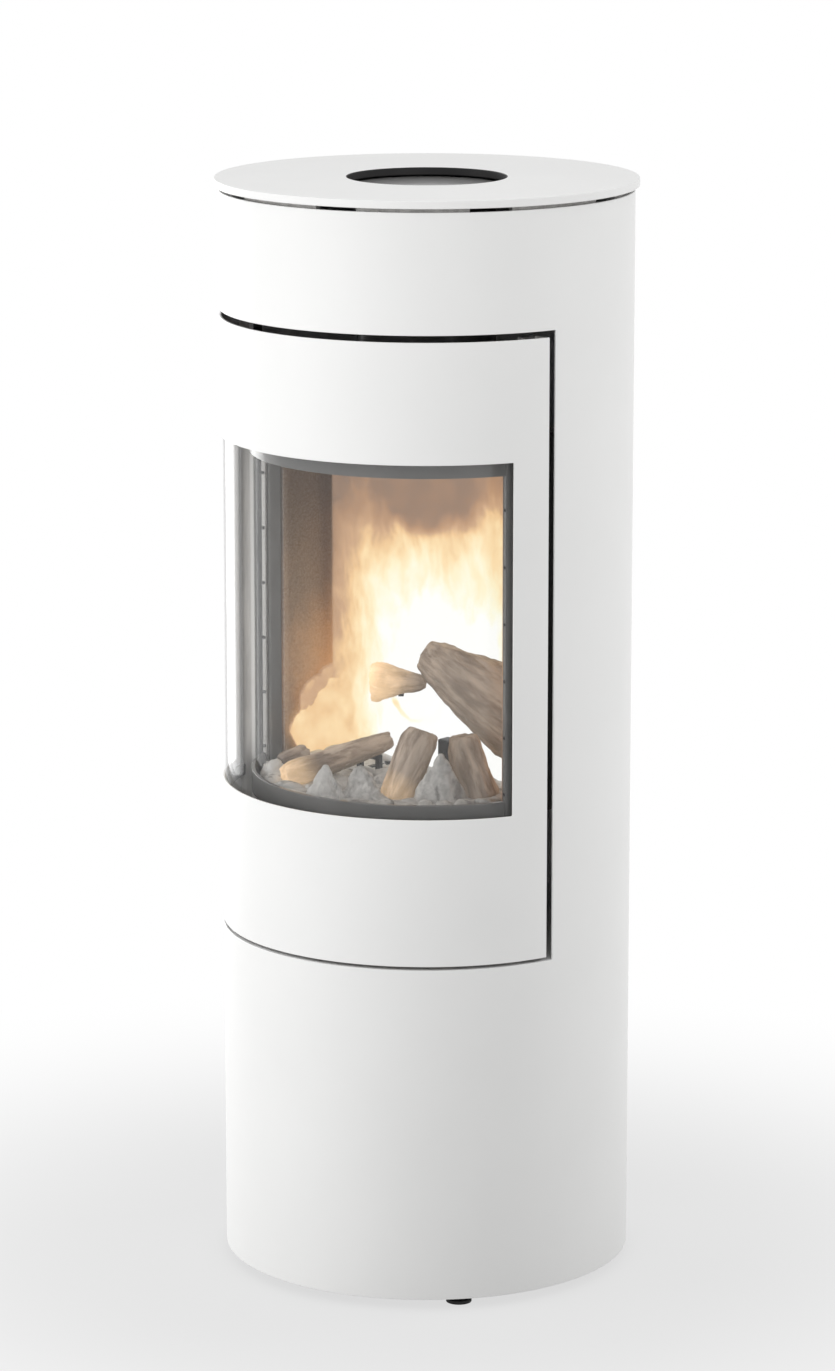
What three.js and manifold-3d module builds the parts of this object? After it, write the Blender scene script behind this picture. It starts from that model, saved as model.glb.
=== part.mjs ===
// A round, free-standing stove: a white steel drum with a curved glazed door, a sealed fire
// chamber behind it with ceramic logs, a gas control behind the door's lower band, and a flue
// outlet in the top plate.
// Millimetres, +Z up. The origin is the centre of the floor under the stove; the front is -Y.
// Angles are counted in degrees from the front, positive towards +X.
import * as THREE from 'three';
import { mergeVertices } from 'three/addons/utils/BufferGeometryUtils.js';
import Module from 'manifold-3d';

const wasm = await Module();
wasm.setup();

// ---------------------------------------------------------------- driving dimensions
const FIT = 0.3; // clearance between pieces that touch
const ARC_STEP = 6; // one facet of a round wall, degrees
const SMALL_SIDES = 16; // facets of a small hole, pin or foot
const LAP = 1; // two shapes that are joined overlap by this much
const CUT = 5; // a cutter reaches this far past what it cuts

const BODY_R = 225; // casing, outside
const SHEET = 2.5; // casing, door and shelf sheet
const FOOT_GAP = 12; // floor to the casing's lower edge
const DRUM_H = 369.9; // casing below the door opening
const OPENING_H = 684; // door opening
const HOOD_H = 128.5; // casing above the door opening

const FOOT_R = 14;
const FOOT_PAD_H = 6;
const FOOT_BEVEL = 2;
const FOOT_NUT_H = 5.8; // lock nut under the base plate
const FOOT_NUT_RIM = 4;
const FOOT_STUD_R = 5;
const FOOT_STUD_LEN = 30;
const FOOT_INSET = 29; // casing surface to the foot's axis
const FOOT_ANGLE = 52;
const BASE_LIFT = 3; // base plate above the casing's lower edge

const TOP_SLOT = 4.3; // dark gap between casing and top plate
const TOP_T = 8.5;
const TOP_OVERHANG = 4.8;
const FLUE_HOLE_R = 86.5;
const TOP_RING_H = 18; // spacer ring inside the casing's upper edge
const TOP_RING_W = 18;
const TOP_RING_STEP = 9; // its upper part stands back by this much
const TOP_RING_DROP = 1; // its wide part ends this far below the casing's edge
const AIR_SLOTS = 8;
const AIR_SLOT_W = 46;
const AIR_SLOT_TURN = 15; // angle of the first slot

const DOOR_HALF = 76.6; // half angle of the door
const DOOR_SIDE_GAP = 8;
const DOOR_TOP_GAP = 7.3;
const DOOR_BOTTOM_GAP = 3.9;
const WINDOW_HALF = 65.7; // half angle of the door's window
const WINDOW_RISE = 161.2; // door's lower edge to the window's
const WINDOW_H = 381.9;
const GLASS_T = 4;
const GLASS_LAP = 8; // glass behind its frame
const STILE_INNER = 69.3; // half angle of the door stile's inner flange
const STILE_EDGE = 0.9; // outer flange to the door's edge, degrees
const STILE_DEPTH = 18;
const STILE_SHEET = 2;
const RAIL_H = 12;
const RAIL_T = 5;

const HINGE_ANGLE = -73.2;
const HINGE_INSET = 9; // casing surface to the hinge axis
const HINGE_PIN_R = 4;
const HINGE_PIN_LEN = 17;
const HINGE_BLOCK_H = 24;
const HINGE_FLANGE_R = 8;
const RUN_FIT = 0.3; // pin to bush, and knob to spindle

const RING_STANDOFF = 31.5; // casing surface to the fire window's frame
const RING_T = 4;
const RING_HALF = 67.3;
const RING_BAND_END = 75;
const RING_SHOW_LOW = 8.6; // lower rail seen above the door window's edge
const RING_SHOW_HIGH = 19.4;
const FRAME_SHEET = 1.5;
const FRAME_REACH = 1.6; // side frame's flange ends this far outside the fire glass's inner face
const FRAME_LAP = 2; // its leg ends this far behind the lining's edge
const WALL_GAP = 1; // chamber's front flange to the side frame

const FIRE_STEP_IN = 18.5; // fire window's side to the chamber's side wall
const FIRE_STEP_BACK = 16.2;
const FIRE_DEPTH = 80; // side walls, front to back
const FIRE_MARGIN = 14; // chamber floor and roof beyond the door window
const LINING_T = 8;
const CHAMBER_SHEET = 2;
const CHAMBER_SHOULDER = 8; // behind the side frame the floor and roof step in
const PLATE_T = 2.5; // chamber floor and roof
const TRAY_H = 12.7;
const TRAY_EDGE = 3; // fire window's side to the tray's front corner, degrees
const TRAY_EASE = 1; // tray is narrower before the linings
const TRAY_STEP = 4;
const BURNER_SLOT_L = 150;
const BURNER_SLOT_W = 5;
const BURNER_BACK = 30; // back lining to the rear slot
const BURNER_FRONT = 60; // fire glass to the front slot

// The rack, the pilot's hood, the logs and the stones are a set that is made to the fire's
// width: their sizes and places are given in hundredths of the fire glass's radius.
const RACK_FRONT = 27; // stove's axis to the rack
const RACK_TOP = 14; // above the bed
const RACK_LEFT = -28.9; // front bar's left leg, and the post by the back lining
const RACK_RIGHT = -14;
const RACK_REST = 3.8; // the post's arm reaches forward to here
const RACK_ARM_TOP = 55.5;
const RACK_BAR = 6; // millimetres
const PILOT_LEFT = 9.2;
const PILOT_W = 21.6;
const PILOT_D = 10.8;
const PILOT_H = 22.7;
const PILOT_GAP = 3; // hood to the back lining, millimetres
const LOG_END = 0.82; // a log's ends are this much thinner than the rest
const LOG_KNOTS = 0.07; // how much its section swells
const STONE_LUMPS = 0.08;
const STONE_TAPER = 0.68; // a stone narrows towards its top
const STONE_SEAT = 0.15; // a stone's middle above the bed, in its half heights

const INNER_FLUE_R = 50;
const OUTER_FLUE_R = 75;
const FLUE_WALL = 1.5;
const FLUE_COVER_R = 84;
const FLUE_COVER_T = 3;
const FLUE_COVER_DROP = 1.2; // below the top plate's underside
const FLUE_COVER_SKIRT = 10;
const FLUE_COVER_SHEET = 2;
const FLUE_DRAW = 9; // inner pipe stops this far below the outer one
const COLLECTOR_H = 45; // box that leads the flue gas from the chamber roof to the middle
const COLLECTOR_MARGIN = 5; // collector beyond the outer flue pipe
const PORT_W = 120; // opening in the chamber roof
const PORT_D = 65;
const PORT_SETBACK = 12; // back lining to the port

const POST_W = 30;
const POST_D = 14;
const POST_SHEET = 2;
const LOWER_POST_INSET = 4;
const UPPER_POST_ANGLE = 126;
const LEG_INSET = 30; // chamber's side to its leg
const LEG_DEPTH = 76;
const LEG_FLANGE = 20;

const VALVE_W = 90;
const VALVE_D = 50;
const VALVE_H = 57;
const VALVE_LIFT = 16;
const VALVE_FOOT_W = 16;
const VALVE_X = 65;
const VALVE_FRONT = 105; // casing surface to the valve's front face
const SPINDLE_R = 12;
const SPINDLE_L = 8;
const KNOB_R = 17;
const KNOB_L = 20;
const KNOB_GRIP = 9;
const RECEIVER_W = 90;
const RECEIVER_D = 50;
const RECEIVER_H = 43;
const PIPE_R = 7.5;
const FEED_R = 5;
const PIPE_CLEARANCE = 4;
const FEED_CLEARANCE = 1.5;
const OUTLET_X = 40; // where the supply pipe leaves through the base plate
const OUTLET_Y = 60;
const FEED_X = 40; // where the burner pipe enters the chamber floor
const FEED_Y = -20;
const FEED_RUN = 18; // straight out of the valve
const FEED_RISE = 45;
const FEED_END = 20; // straight under the chamber floor
const MAGNET_H = 40;
const MAGNET_FROM = 71; // angle

// ---------------------------------------------------------------- levels and radii
const wallIn = BODY_R - SHEET;
const shelfR = wallIn - FIT;
const casingLow = FOOT_GAP;
const openLow = casingLow + DRUM_H;
const openHigh = openLow + OPENING_H;
const casingTop = openHigh + HOOD_H;
const topUnder = casingTop + TOP_SLOT;
const doorLow = openLow + DOOR_BOTTOM_GAP;
const doorHigh = openHigh - DOOR_TOP_GAP;
const windowLow = doorLow + WINDOW_RISE;
const windowHigh = windowLow + WINDOW_H;
const openHalf = DOOR_HALF + THREE.MathUtils.radToDeg(DOOR_SIDE_GAP / BODY_R);
const ringR = BODY_R - RING_STANDOFF;
const ringIn = ringR - RING_T;
const fireGlassOut = ringIn - FIT;
const fireGlassIn = fireGlassOut - GLASS_T;
const floorTop = windowLow - FIRE_MARGIN;
const roofUnder = windowHigh + FIRE_MARGIN;
const bedTop = floorTop + FIT + TRAY_H;
const baseLow = casingLow + BASE_LIFT;
const baseTop = baseLow + SHEET;
const coverTop = topUnder - FLUE_COVER_DROP;
const flueTop = coverTop - FLUE_COVER_T - FIT;
const stileOuter = DOOR_HALF - STILE_EDGE;
const frameBandIn = ringR - FRAME_SHEET;
const fireShare = fireGlassIn / 100;
const valveY = -(BODY_R - VALVE_FRONT);

// ---------------------------------------------------------------- helpers
const radians = THREE.MathUtils.degToRad;
const degrees = THREE.MathUtils.radToDeg;
const polar = (r, angle) => new THREE.Vector2(r * Math.sin(radians(angle)), -r * Math.cos(radians(angle)));

// The angles of a round wall's facets, the same on every piece, so that neighbours stay parallel.
function facetAngles(from, to) {
  const angles = [from];
  const first = Math.floor(from / ARC_STEP + 1e-6) + 1;
  for (let k = first; k * ARC_STEP < to - 1e-6; k += 1) angles.push(k * ARC_STEP);
  angles.push(to);
  return angles;
}

// A round wall's ends lie on its facets, so that walls round the same axis keep their distance.
function onFacet(r, angle) {
  const middle = (Math.floor(angle / ARC_STEP + 1e-6) + 0.5) * ARC_STEP;
  const corner = Math.abs(angle / ARC_STEP - Math.round(angle / ARC_STEP)) < 1e-6;
  const flatR = (r * Math.cos(radians(ARC_STEP / 2))) / Math.cos(radians(angle - middle));
  return polar(corner ? r : flatR, angle);
}

const arcPoints = (r, from, to) => facetAngles(from, to).map((angle) => onFacet(r, angle));
const circlePoints = (r) => arcPoints(r, -180, 180).slice(0, -1);

const hingeAxis = polar(BODY_R - HINGE_INSET, HINGE_ANGLE);
const fireHalfW = ringR * Math.sin(radians(RING_HALF)) - FIRE_STEP_IN;
const fireFrontY = -ringR * Math.cos(radians(RING_HALF)) + FIRE_STEP_BACK;
const fireBackY = fireFrontY + FIRE_DEPTH;
const pipeInlet = new THREE.Vector2(VALVE_X, valveY + VALVE_D / 2);
const pipeOutlet = new THREE.Vector2(OUTLET_X, OUTLET_Y);
const feedTop = new THREE.Vector2(FEED_X, FEED_Y);

// A small round hole or pin at a place given as a point.
function smallCircle(r, centre) {
  const points = [];
  for (let i = 0; i < SMALL_SIDES; i += 1) points.push(polar(r, (i * 360) / SMALL_SIDES).add(centre));
  return points;
}

// A flat outline raised from one level to another.
function prism(outline, low, high, holes = []) {
  const shape = new THREE.Shape(outline);
  for (const hole of holes) shape.holes.push(new THREE.Path(hole));
  const geometry = new THREE.ExtrudeGeometry(shape, { depth: high - low, bevelEnabled: false });
  return geometry.translate(0, 0, low);
}

const ring = (rIn, rOut, low, high) => prism(circlePoints(rOut), low, high, [circlePoints(rIn)]);
const arcPlate = (rIn, rOut, from, to, low, high) =>
  prism([...arcPoints(rOut, from, to), ...arcPoints(rIn, from, to).reverse()], low, high);

function box(x0, x1, y0, y1, z0, z1) {
  const geometry = new THREE.BoxGeometry(x1 - x0, y1 - y0, z1 - z0);
  return geometry.translate((x0 + x1) / 2, (y0 + y1) / 2, (z0 + z1) / 2);
}

// A turned piece on a vertical axis: profile points are [radius, height], bottom to top.
function turned(profile, x, y, sides = SMALL_SIDES) {
  const points = profile.map(([r, z]) => new THREE.Vector2(r, z));
  return new THREE.LatheGeometry(points, sides).rotateX(Math.PI / 2).translate(x, y, 0);
}

// A folded sheet: the path is one face of the sheet, the other lies to its left.
function folded(path, sheet, low, high) {
  const normals = [];
  for (let i = 0; i + 1 < path.length; i += 1) {
    const d = path[i + 1].clone().sub(path[i]).normalize();
    normals.push(new THREE.Vector2(-d.y, d.x));
  }
  const other = path.map((p, i) => {
    const before = normals[Math.max(i - 1, 0)];
    const after = normals[Math.min(i, normals.length - 1)];
    const mitre = before.clone().add(after).normalize();
    return p.clone().addScaledVector(mitre, sheet / mitre.dot(after));
  });
  return prism([...path, ...other.reverse()], low, high);
}

const mirrored = (points) => points.map((p) => new THREE.Vector2(-p.x, p.y)).reverse();

// A round rod along a smooth path.
function rod(points, r, steps, sides = 8) {
  const section = new THREE.Shape();
  for (let i = 0; i < sides; i += 1) {
    const turn = (i / sides) * 2 * Math.PI;
    section[i ? 'lineTo' : 'moveTo'](r * Math.cos(turn), r * Math.sin(turn));
  }
  const path = new THREE.CatmullRomCurve3(points.map((p) => new THREE.Vector3(...p)), false, 'centripetal');
  return new THREE.ExtrudeGeometry(section, { extrudePath: path, steps, bevelEnabled: false });
}

function toSolid(geometry) {
  const bare = geometry.clone();
  bare.deleteAttribute('normal');
  bare.deleteAttribute('uv');
  const merged = mergeVertices(bare, 1e-4);
  const vertProperties = Float32Array.from(merged.attributes.position.array);
  const triVerts = Uint32Array.from(merged.index.array);
  return new wasm.Manifold(new wasm.Mesh({ numProp: 3, vertProperties, triVerts }));
}

function fromSolid(solid) {
  const mesh = solid.getMesh();
  const geometry = new THREE.BufferGeometry();
  geometry.setAttribute('position', new THREE.BufferAttribute(Float32Array.from(mesh.vertProperties), 3));
  geometry.setIndex(Array.from(mesh.triVerts));
  return geometry;
}

const cut = (geometry, ...tools) =>
  fromSolid(tools.reduce((solid, tool) => solid.subtract(toSolid(tool)), toSolid(geometry)));
const join = (geometry, ...others) =>
  fromSolid(others.reduce((solid, other) => solid.add(toSolid(other)), toSolid(geometry)));

// ---------------------------------------------------------------- materials
const finish = (color, roughness, metalness = 0) =>
  new THREE.MeshStandardMaterial({ color, roughness, metalness });
const whitePaint = finish(0xf2f1ef, 0.42);
const blackPaint = finish(0x1c1c1d, 0.5);
const greyPaint = finish(0x4b4b4c, 0.5);
const zincSteel = finish(0xa7a9ab, 0.45, 0.8);
const brass = finish(0xb08d4c, 0.35, 0.9);
const lining = finish(0x6d5a4c, 0.9);
const ceramicLog = finish(0x7b6556, 0.9);
const ceramicStone = finish(0x8b8884, 0.85);
const rubber = finish(0x161616, 0.8);
const plastic = finish(0x26272a, 0.5);
const glass = finish(0xdfe6e6, 0.05);
glass.transparent = true;
glass.opacity = 0.25;

const stove = new THREE.Group();
stove.name = 'stove';

function add(parent, name, geometry, material) {
  const mesh = new THREE.Mesh(geometry, material);
  mesh.name = name;
  parent.add(mesh);
  return mesh;
}

// ---------------------------------------------------------------- casing, base and feet
function buildCasing() {
  const opening = arcPlate(wallIn - CUT, BODY_R + CUT, -openHalf, openHalf, openLow, openHigh);
  add(stove, 'outer_shell', cut(ring(wallIn, BODY_R, casingLow, casingTop), opening), whitePaint);

  const footR = BODY_R - FOOT_INSET;
  const footAngles = [-FOOT_ANGLE, FOOT_ANGLE, 180 - FOOT_ANGLE, FOOT_ANGLE - 180];
  const studHoles = footAngles.map((angle) => smallCircle(FOOT_STUD_R + FIT, polar(footR, angle)));
  const pipeHole = smallCircle(PIPE_R + PIPE_CLEARANCE, pipeOutlet);
  add(stove, 'base_plate', prism(circlePoints(shelfR), baseLow, baseTop, [...studHoles, pipeHole]),
    blackPaint);

  const nutHigh = baseLow - FIT;
  const nutLow = nutHigh - FOOT_NUT_H;
  const nutR = FOOT_STUD_R + FOOT_NUT_RIM;
  footAngles.forEach((angle, i) => {
    const p = polar(footR, angle);
    const profile = [[0, 0], [FOOT_R, 0], [FOOT_R, FOOT_PAD_H - FOOT_BEVEL], [FOOT_STUD_R, FOOT_PAD_H],
      [FOOT_STUD_R, nutLow], [nutR, nutLow], [nutR, nutHigh], [FOOT_STUD_R, nutHigh],
      [FOOT_STUD_R, FOOT_STUD_LEN], [0, FOOT_STUD_LEN]];
    add(stove, `levelling_foot_${i + 1}`, turned(profile, p.x, p.y), rubber);
  });
}

// ---------------------------------------------------------------- shelves and posts
function buildShelves() {
  const pipeHole = smallCircle(PIPE_R + PIPE_CLEARANCE, pipeInlet);
  add(stove, 'bay_floor', prism(circlePoints(shelfR), openLow - SHEET, openLow, [pipeHole]), whitePaint);
  const flueHole = circlePoints(OUTER_FLUE_R + FIT);
  add(stove, 'bay_roof', prism(circlePoints(shelfR), openHigh, openHigh + SHEET, [flueHole]), blackPaint);

  // Channel posts carry the lower shelf on the base plate, and the upper shelf on the lower one.
  const channel = (w, d) => [
    new THREE.Vector2(-w / 2, -d), new THREE.Vector2(-w / 2, 0),
    new THREE.Vector2(w / 2, 0), new THREE.Vector2(w / 2, -d),
  ];
  const post = (low, high) => folded(channel(POST_W, POST_D), -POST_SHEET, low, high);
  const lowerR = shelfR - LOWER_POST_INSET;
  for (const [side, angle] of [['left', -90], ['right', 90]]) {
    const mesh = add(stove, `lower_post_${side}`, post(baseTop + FIT, openLow - SHEET - FIT), blackPaint);
    mesh.rotation.z = radians(angle + 180);
    mesh.position.set(...polar(lowerR, angle), 0);
  }
  for (const [side, angle] of [['left', -UPPER_POST_ANGLE], ['right', UPPER_POST_ANGLE]]) {
    const mesh = add(stove, `upper_post_${side}`, post(openLow + FIT, openHigh - FIT), blackPaint);
    mesh.rotation.z = radians(angle + 180);
    mesh.position.set(...polar(lowerR, angle), 0);
  }
}

// ---------------------------------------------------------------- top plate, spacer and flue
function buildTop() {
  const hole = circlePoints(FLUE_HOLE_R);
  const plateR = BODY_R + TOP_OVERHANG;
  add(stove, 'top_plate', prism(circlePoints(plateR), topUnder, topUnder + TOP_T, [hole]), whitePaint);

  const ringTop = topUnder - FIT;
  const step = casingTop - TOP_RING_DROP;
  const spacerIn = shelfR - TOP_RING_W;
  const spacerFace = shelfR - TOP_RING_STEP;
  const spacer = join(ring(spacerIn, shelfR, ringTop - TOP_RING_H, step),
    ring(spacerIn, spacerFace, step - LAP, ringTop));
  const slots = [];
  for (let i = 0; i < AIR_SLOTS; i += 1) {
    const slot = box(-AIR_SLOT_W / 2, AIR_SLOT_W / 2, -shelfR - CUT, -spacerIn + CUT, step, ringTop + CUT);
    slots.push(slot.rotateZ(radians(AIR_SLOT_TURN + i * 360 / AIR_SLOTS)));
  }
  add(stove, 'top_ring', cut(spacer, ...slots), greyPaint);

  const boxLow = roofUnder + PLATE_T + FIT;
  const boxHigh = boxLow + COLLECTOR_H;
  const half = OUTER_FLUE_R + COLLECTOR_MARGIN;
  const inner = half - CHAMBER_SHEET;
  const boreHole = prism(circlePoints(INNER_FLUE_R - FLUE_WALL), boxLow, boxHigh + CUT);
  add(stove, 'flue_collector', cut(box(-half, half, -half, half, boxLow, boxHigh),
    box(-inner, inner, -inner, inner, boxLow + CHAMBER_SHEET, boxHigh - CHAMBER_SHEET),
    prism(portOutline(), boxLow - CUT, boxHigh - CHAMBER_SHEET), boreHole), greyPaint);

  const flueLow = boxHigh + FIT;
  const pipe = (r, high) => ring(r - FLUE_WALL, r, flueLow, high);
  add(stove, 'flue_spigot_outer', pipe(OUTER_FLUE_R, flueTop), greyPaint);
  add(stove, 'flue_spigot_inner', pipe(INNER_FLUE_R, flueTop - FLUE_COVER_SKIRT - FLUE_DRAW), zincSteel);

  // A flat lid on the outer pipe, with a skirt that keeps it in place.
  const skirtR = OUTER_FLUE_R - FLUE_WALL - 2 * FIT;
  const skirtIn = skirtR - FLUE_COVER_SHEET;
  const skirtLow = flueTop - FLUE_COVER_SKIRT;
  const lidLow = coverTop - FLUE_COVER_T;
  const lid = [[0, lidLow], [skirtIn, lidLow], [skirtIn, skirtLow], [skirtR, skirtLow],
    [skirtR, lidLow], [FLUE_COVER_R, lidLow], [FLUE_COVER_R, coverTop], [0, coverTop]];
  add(stove, 'flue_cover', turned(lid, 0, 0, 360 / ARC_STEP), greyPaint);
}

// ---------------------------------------------------------------- the door
function buildDoor() {
  const door = new THREE.Group();
  stove.add(door);
  const window = arcPlate(wallIn - CUT, BODY_R + CUT, -WINDOW_HALF, WINDOW_HALF, windowLow, windowHigh);
  const panel = arcPlate(wallIn, BODY_R, -DOOR_HALF, DOOR_HALF, doorLow, doorHigh);
  add(door, 'door_panel', cut(panel, window), whitePaint);

  const backR = wallIn - FIT; // outer face of all that lies behind the panel
  const gapAngle = degrees(FIT / backR);
  const glassHalf = STILE_INNER - gapAngle;
  const glassLow = windowLow - GLASS_LAP;
  const glassHigh = windowHigh + GLASS_LAP;
  add(door, 'door_glass', arcPlate(backR - GLASS_T, backR, -glassHalf, glassHalf, glassLow, glassHigh),
    glass);

  const railIn = backR - RAIL_T;
  const rail = (low) => arcPlate(railIn, backR, -glassHalf, glassHalf, low, low + RAIL_H);
  add(door, 'door_rail_bottom', rail(glassLow - FIT - RAIL_H), blackPaint);
  add(door, 'door_rail_top', rail(glassHigh + FIT), blackPaint);

  // Hat section: its web faces the fire window, its two flanges stand on the panel.
  const webR = backR - STILE_DEPTH;
  const path = [onFacet(backR - FIT, STILE_INNER), ...arcPoints(webR, STILE_INNER, stileOuter),
    onFacet(backR - FIT, stileOuter)];
  add(door, 'door_stile_right', folded(path, -STILE_SHEET, doorLow, doorHigh), greyPaint);
  add(door, 'door_stile_left', folded(mirrored(path), -STILE_SHEET, doorLow, doorHigh), greyPaint);

  // Hinge blocks fill the left stile's channel at its two ends, each bored for its pin.
  const sheetAngle = degrees((STILE_SHEET + FIT) / webR);
  const bush = (low, high) => {
    const block = arcPlate(webR + STILE_SHEET + FIT, backR, -stileOuter + sheetAngle,
      -STILE_INNER - sheetAngle, low, high);
    return cut(block, prism(smallCircle(HINGE_PIN_R + RUN_FIT, hingeAxis), low - CUT, high + CUT));
  };
  add(door, 'door_hinge_block_bottom', bush(doorLow, doorLow + HINGE_BLOCK_H), zincSteel);
  add(door, 'door_hinge_block_top', bush(doorHigh - HINGE_BLOCK_H, doorHigh), zincSteel);

  const flangeTop = doorLow - FIT;
  const lowerPin = [[0, openLow + FIT], [HINGE_FLANGE_R, openLow + FIT], [HINGE_FLANGE_R, flangeTop],
    [HINGE_PIN_R, flangeTop], [HINGE_PIN_R, flangeTop + HINGE_PIN_LEN], [0, flangeTop + HINGE_PIN_LEN]];
  add(stove, 'hinge_pin_bottom', turned(lowerPin, hingeAxis.x, hingeAxis.y), zincSteel);
  const flangeLow = doorHigh + FIT;
  const upperPin = [[0, flangeLow - HINGE_PIN_LEN], [HINGE_PIN_R, flangeLow - HINGE_PIN_LEN],
    [HINGE_PIN_R, flangeLow], [HINGE_FLANGE_R, flangeLow], [HINGE_FLANGE_R, openHigh - FIT],
    [0, openHigh - FIT]];
  add(stove, 'hinge_pin_top', turned(upperPin, hingeAxis.x, hingeAxis.y), zincSteel);
}

// ---------------------------------------------------------------- the fire window's frame
function buildFireWindow() {
  const half = RING_HALF - degrees(FIT / ringIn);
  const railLowTop = windowLow + RING_SHOW_LOW;
  const railHighLow = windowHigh - RING_SHOW_HIGH;
  add(stove, 'fire_glass', arcPlate(fireGlassIn, fireGlassOut, -half, half,
    railLowTop - GLASS_LAP, railHighLow + GLASS_LAP), glass);
  add(stove, 'fire_rail_bottom', arcPlate(ringIn, ringR, -half, half, floorTop + FIT, railLowTop), greyPaint);
  add(stove, 'fire_rail_top', arcPlate(ringIn, ringR, -half, half, railHighLow, roofUnder - FIT), greyPaint);

  // Side frame: a band in line with the rails, a radial flange, and a leg back to the lining.
  const legEnd = new THREE.Vector2(fireHalfW + FIT + FRAME_LAP, fireFrontY - FIT - FRAME_SHEET);
  const path = [...arcPoints(ringR, RING_HALF, RING_BAND_END).reverse(),
    polar(fireGlassIn + FRAME_REACH, RING_HALF), legEnd];
  const low = floorTop + FIT;
  const high = roofUnder - FIT;
  add(stove, 'side_frame_right', folded(path, -FRAME_SHEET, low, high), greyPaint);
  add(stove, 'side_frame_left', folded(mirrored(path), -FRAME_SHEET, low, high), greyPaint);

  // Magnet block between the right side frame and the door's stile.
  const magnetIn = ringR + FIT;
  const magnetOut = wallIn - FIT - STILE_DEPTH - FIT;
  const middle = (doorLow + doorHigh) / 2;
  add(stove, 'catch_magnet', arcPlate(magnetIn, magnetOut, MAGNET_FROM, RING_BAND_END,
    middle - MAGNET_H / 2, middle + MAGNET_H / 2), blackPaint);
}

// ---------------------------------------------------------------- the fire chamber
function chamberOutline() {
  const backY = fireBackY + LINING_T + FIT + CHAMBER_SHEET;
  const sideX = fireHalfW + LINING_T + FIT + CHAMBER_SHEET;
  const shoulderY = polar(ringR, RING_BAND_END).y + CHAMBER_SHOULDER;
  return [...arcPoints(ringR, -RING_BAND_END, RING_BAND_END),
    new THREE.Vector2(sideX, shoulderY), new THREE.Vector2(sideX, backY),
    new THREE.Vector2(-sideX, backY), new THREE.Vector2(-sideX, shoulderY)];
}

// The port that the flue gas takes through the chamber roof into the collector.
function portOutline() {
  const back = fireBackY - PORT_SETBACK;
  return [[-1, 0], [1, 0], [1, 1], [-1, 1]].map(([sx, sy]) =>
    new THREE.Vector2(sx * PORT_W / 2, back - PORT_D + sy * PORT_D));
}

function buildChamber() {
  const feedHole = smallCircle(FEED_R + FEED_CLEARANCE, feedTop);
  add(stove, 'chamber_floor', prism(chamberOutline(), floorTop - PLATE_T, floorTop, [feedHole]), greyPaint);
  add(stove, 'chamber_roof', prism(chamberOutline(), roofUnder, roofUnder + PLATE_T, [portOutline()]),
    greyPaint);

  const low = floorTop + FIT;
  const high = roofUnder - FIT;
  const sheetX = fireHalfW + LINING_T + FIT;
  const sheetY = fireBackY + LINING_T + FIT;
  const reach = Math.sqrt((frameBandIn - WALL_GAP) ** 2 - fireFrontY ** 2);
  const walls = [[reach, fireFrontY], [sheetX, fireFrontY], [sheetX, sheetY],
    [-sheetX, sheetY], [-sheetX, fireFrontY], [-reach, fireFrontY]];
  const path = walls.map(([x, y]) => new THREE.Vector2(x, y));
  add(stove, 'chamber_walls', folded(path, -CHAMBER_SHEET, low, high), greyPaint);

  const board = (x0, x1, y0) => box(x0, x1, y0, fireBackY + LINING_T, low, high);
  add(stove, 'lining_back', board(-fireHalfW + FIT, fireHalfW - FIT, fireBackY), lining);
  add(stove, 'lining_left', board(-fireHalfW - LINING_T, -fireHalfW, fireFrontY), lining);
  add(stove, 'lining_right', board(fireHalfW, fireHalfW + LINING_T, fireFrontY), lining);

  // Legs that carry the chamber floor on the lower shelf.
  const legLow = openLow + FIT;
  const legHigh = floorTop - PLATE_T - FIT;
  const legFront = fireBackY - LEG_DEPTH;
  const legX = fireHalfW - LEG_INSET;
  const leg = [[legX - LEG_FLANGE, legFront], [legX, legFront], [legX, fireBackY],
    [legX - LEG_FLANGE, fireBackY]].map(([x, y]) => new THREE.Vector2(x, y));
  add(stove, 'chamber_leg_right', folded(leg, CHAMBER_SHEET, legLow, legHigh), blackPaint);
  add(stove, 'chamber_leg_left', folded(mirrored(leg), CHAMBER_SHEET, legLow, legHigh), blackPaint);
}

// ---------------------------------------------------------------- burner, logs and stones
// The log rack: a front bar on two legs, and a post by the back lining whose arm reaches forward
// under the short upper log. Grown by a clearance, it is also the notch in the logs on it.
function rackShape(grow) {
  const half = RACK_BAR / 2 + grow;
  const left = RACK_LEFT * fireShare;
  const right = RACK_RIGHT * fireShare;
  const post = new THREE.Vector2(left, fireBackY - FIT - RACK_BAR / 2);
  const rest = new THREE.Vector2(RACK_REST * fireShare, -RACK_FRONT * fireShare);
  const foot = bedTop + FIT - grow;
  const top = bedTop + RACK_TOP * fireShare + grow;
  const armTop = bedTop + RACK_ARM_TOP * fireShare + grow;
  const bar = (x0, x1, y0, y1, low, high) => box(x0 - half, x1 + half, y0 - half, y1 + half, low, high);
  const reach = rest.clone().sub(post);
  const arm = box(0, reach.length() + half, -half, half, armTop - 2 * half, armTop)
    .rotateZ(reach.angle()).translate(post.x, post.y, 0);
  return join(bar(left, right, rest.y, rest.y, top - 2 * half, top),
    bar(left, left, rest.y, rest.y, foot, top),
    bar(right, right, rest.y, rest.y, foot, top),
    bar(left, left, rest.y, post.y, foot, foot + 2 * half),
    bar(post.x, post.x, post.y, post.y, foot, armTop), arm);
}

// A point in the fire: an angle, a distance from the stove's axis, and a height above the bed.
function inFire(angle, out, height) {
  const p = polar(out * fireShare, angle);
  return new THREE.Vector3(p.x, p.y, bedTop + height * fireShare);
}

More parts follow.
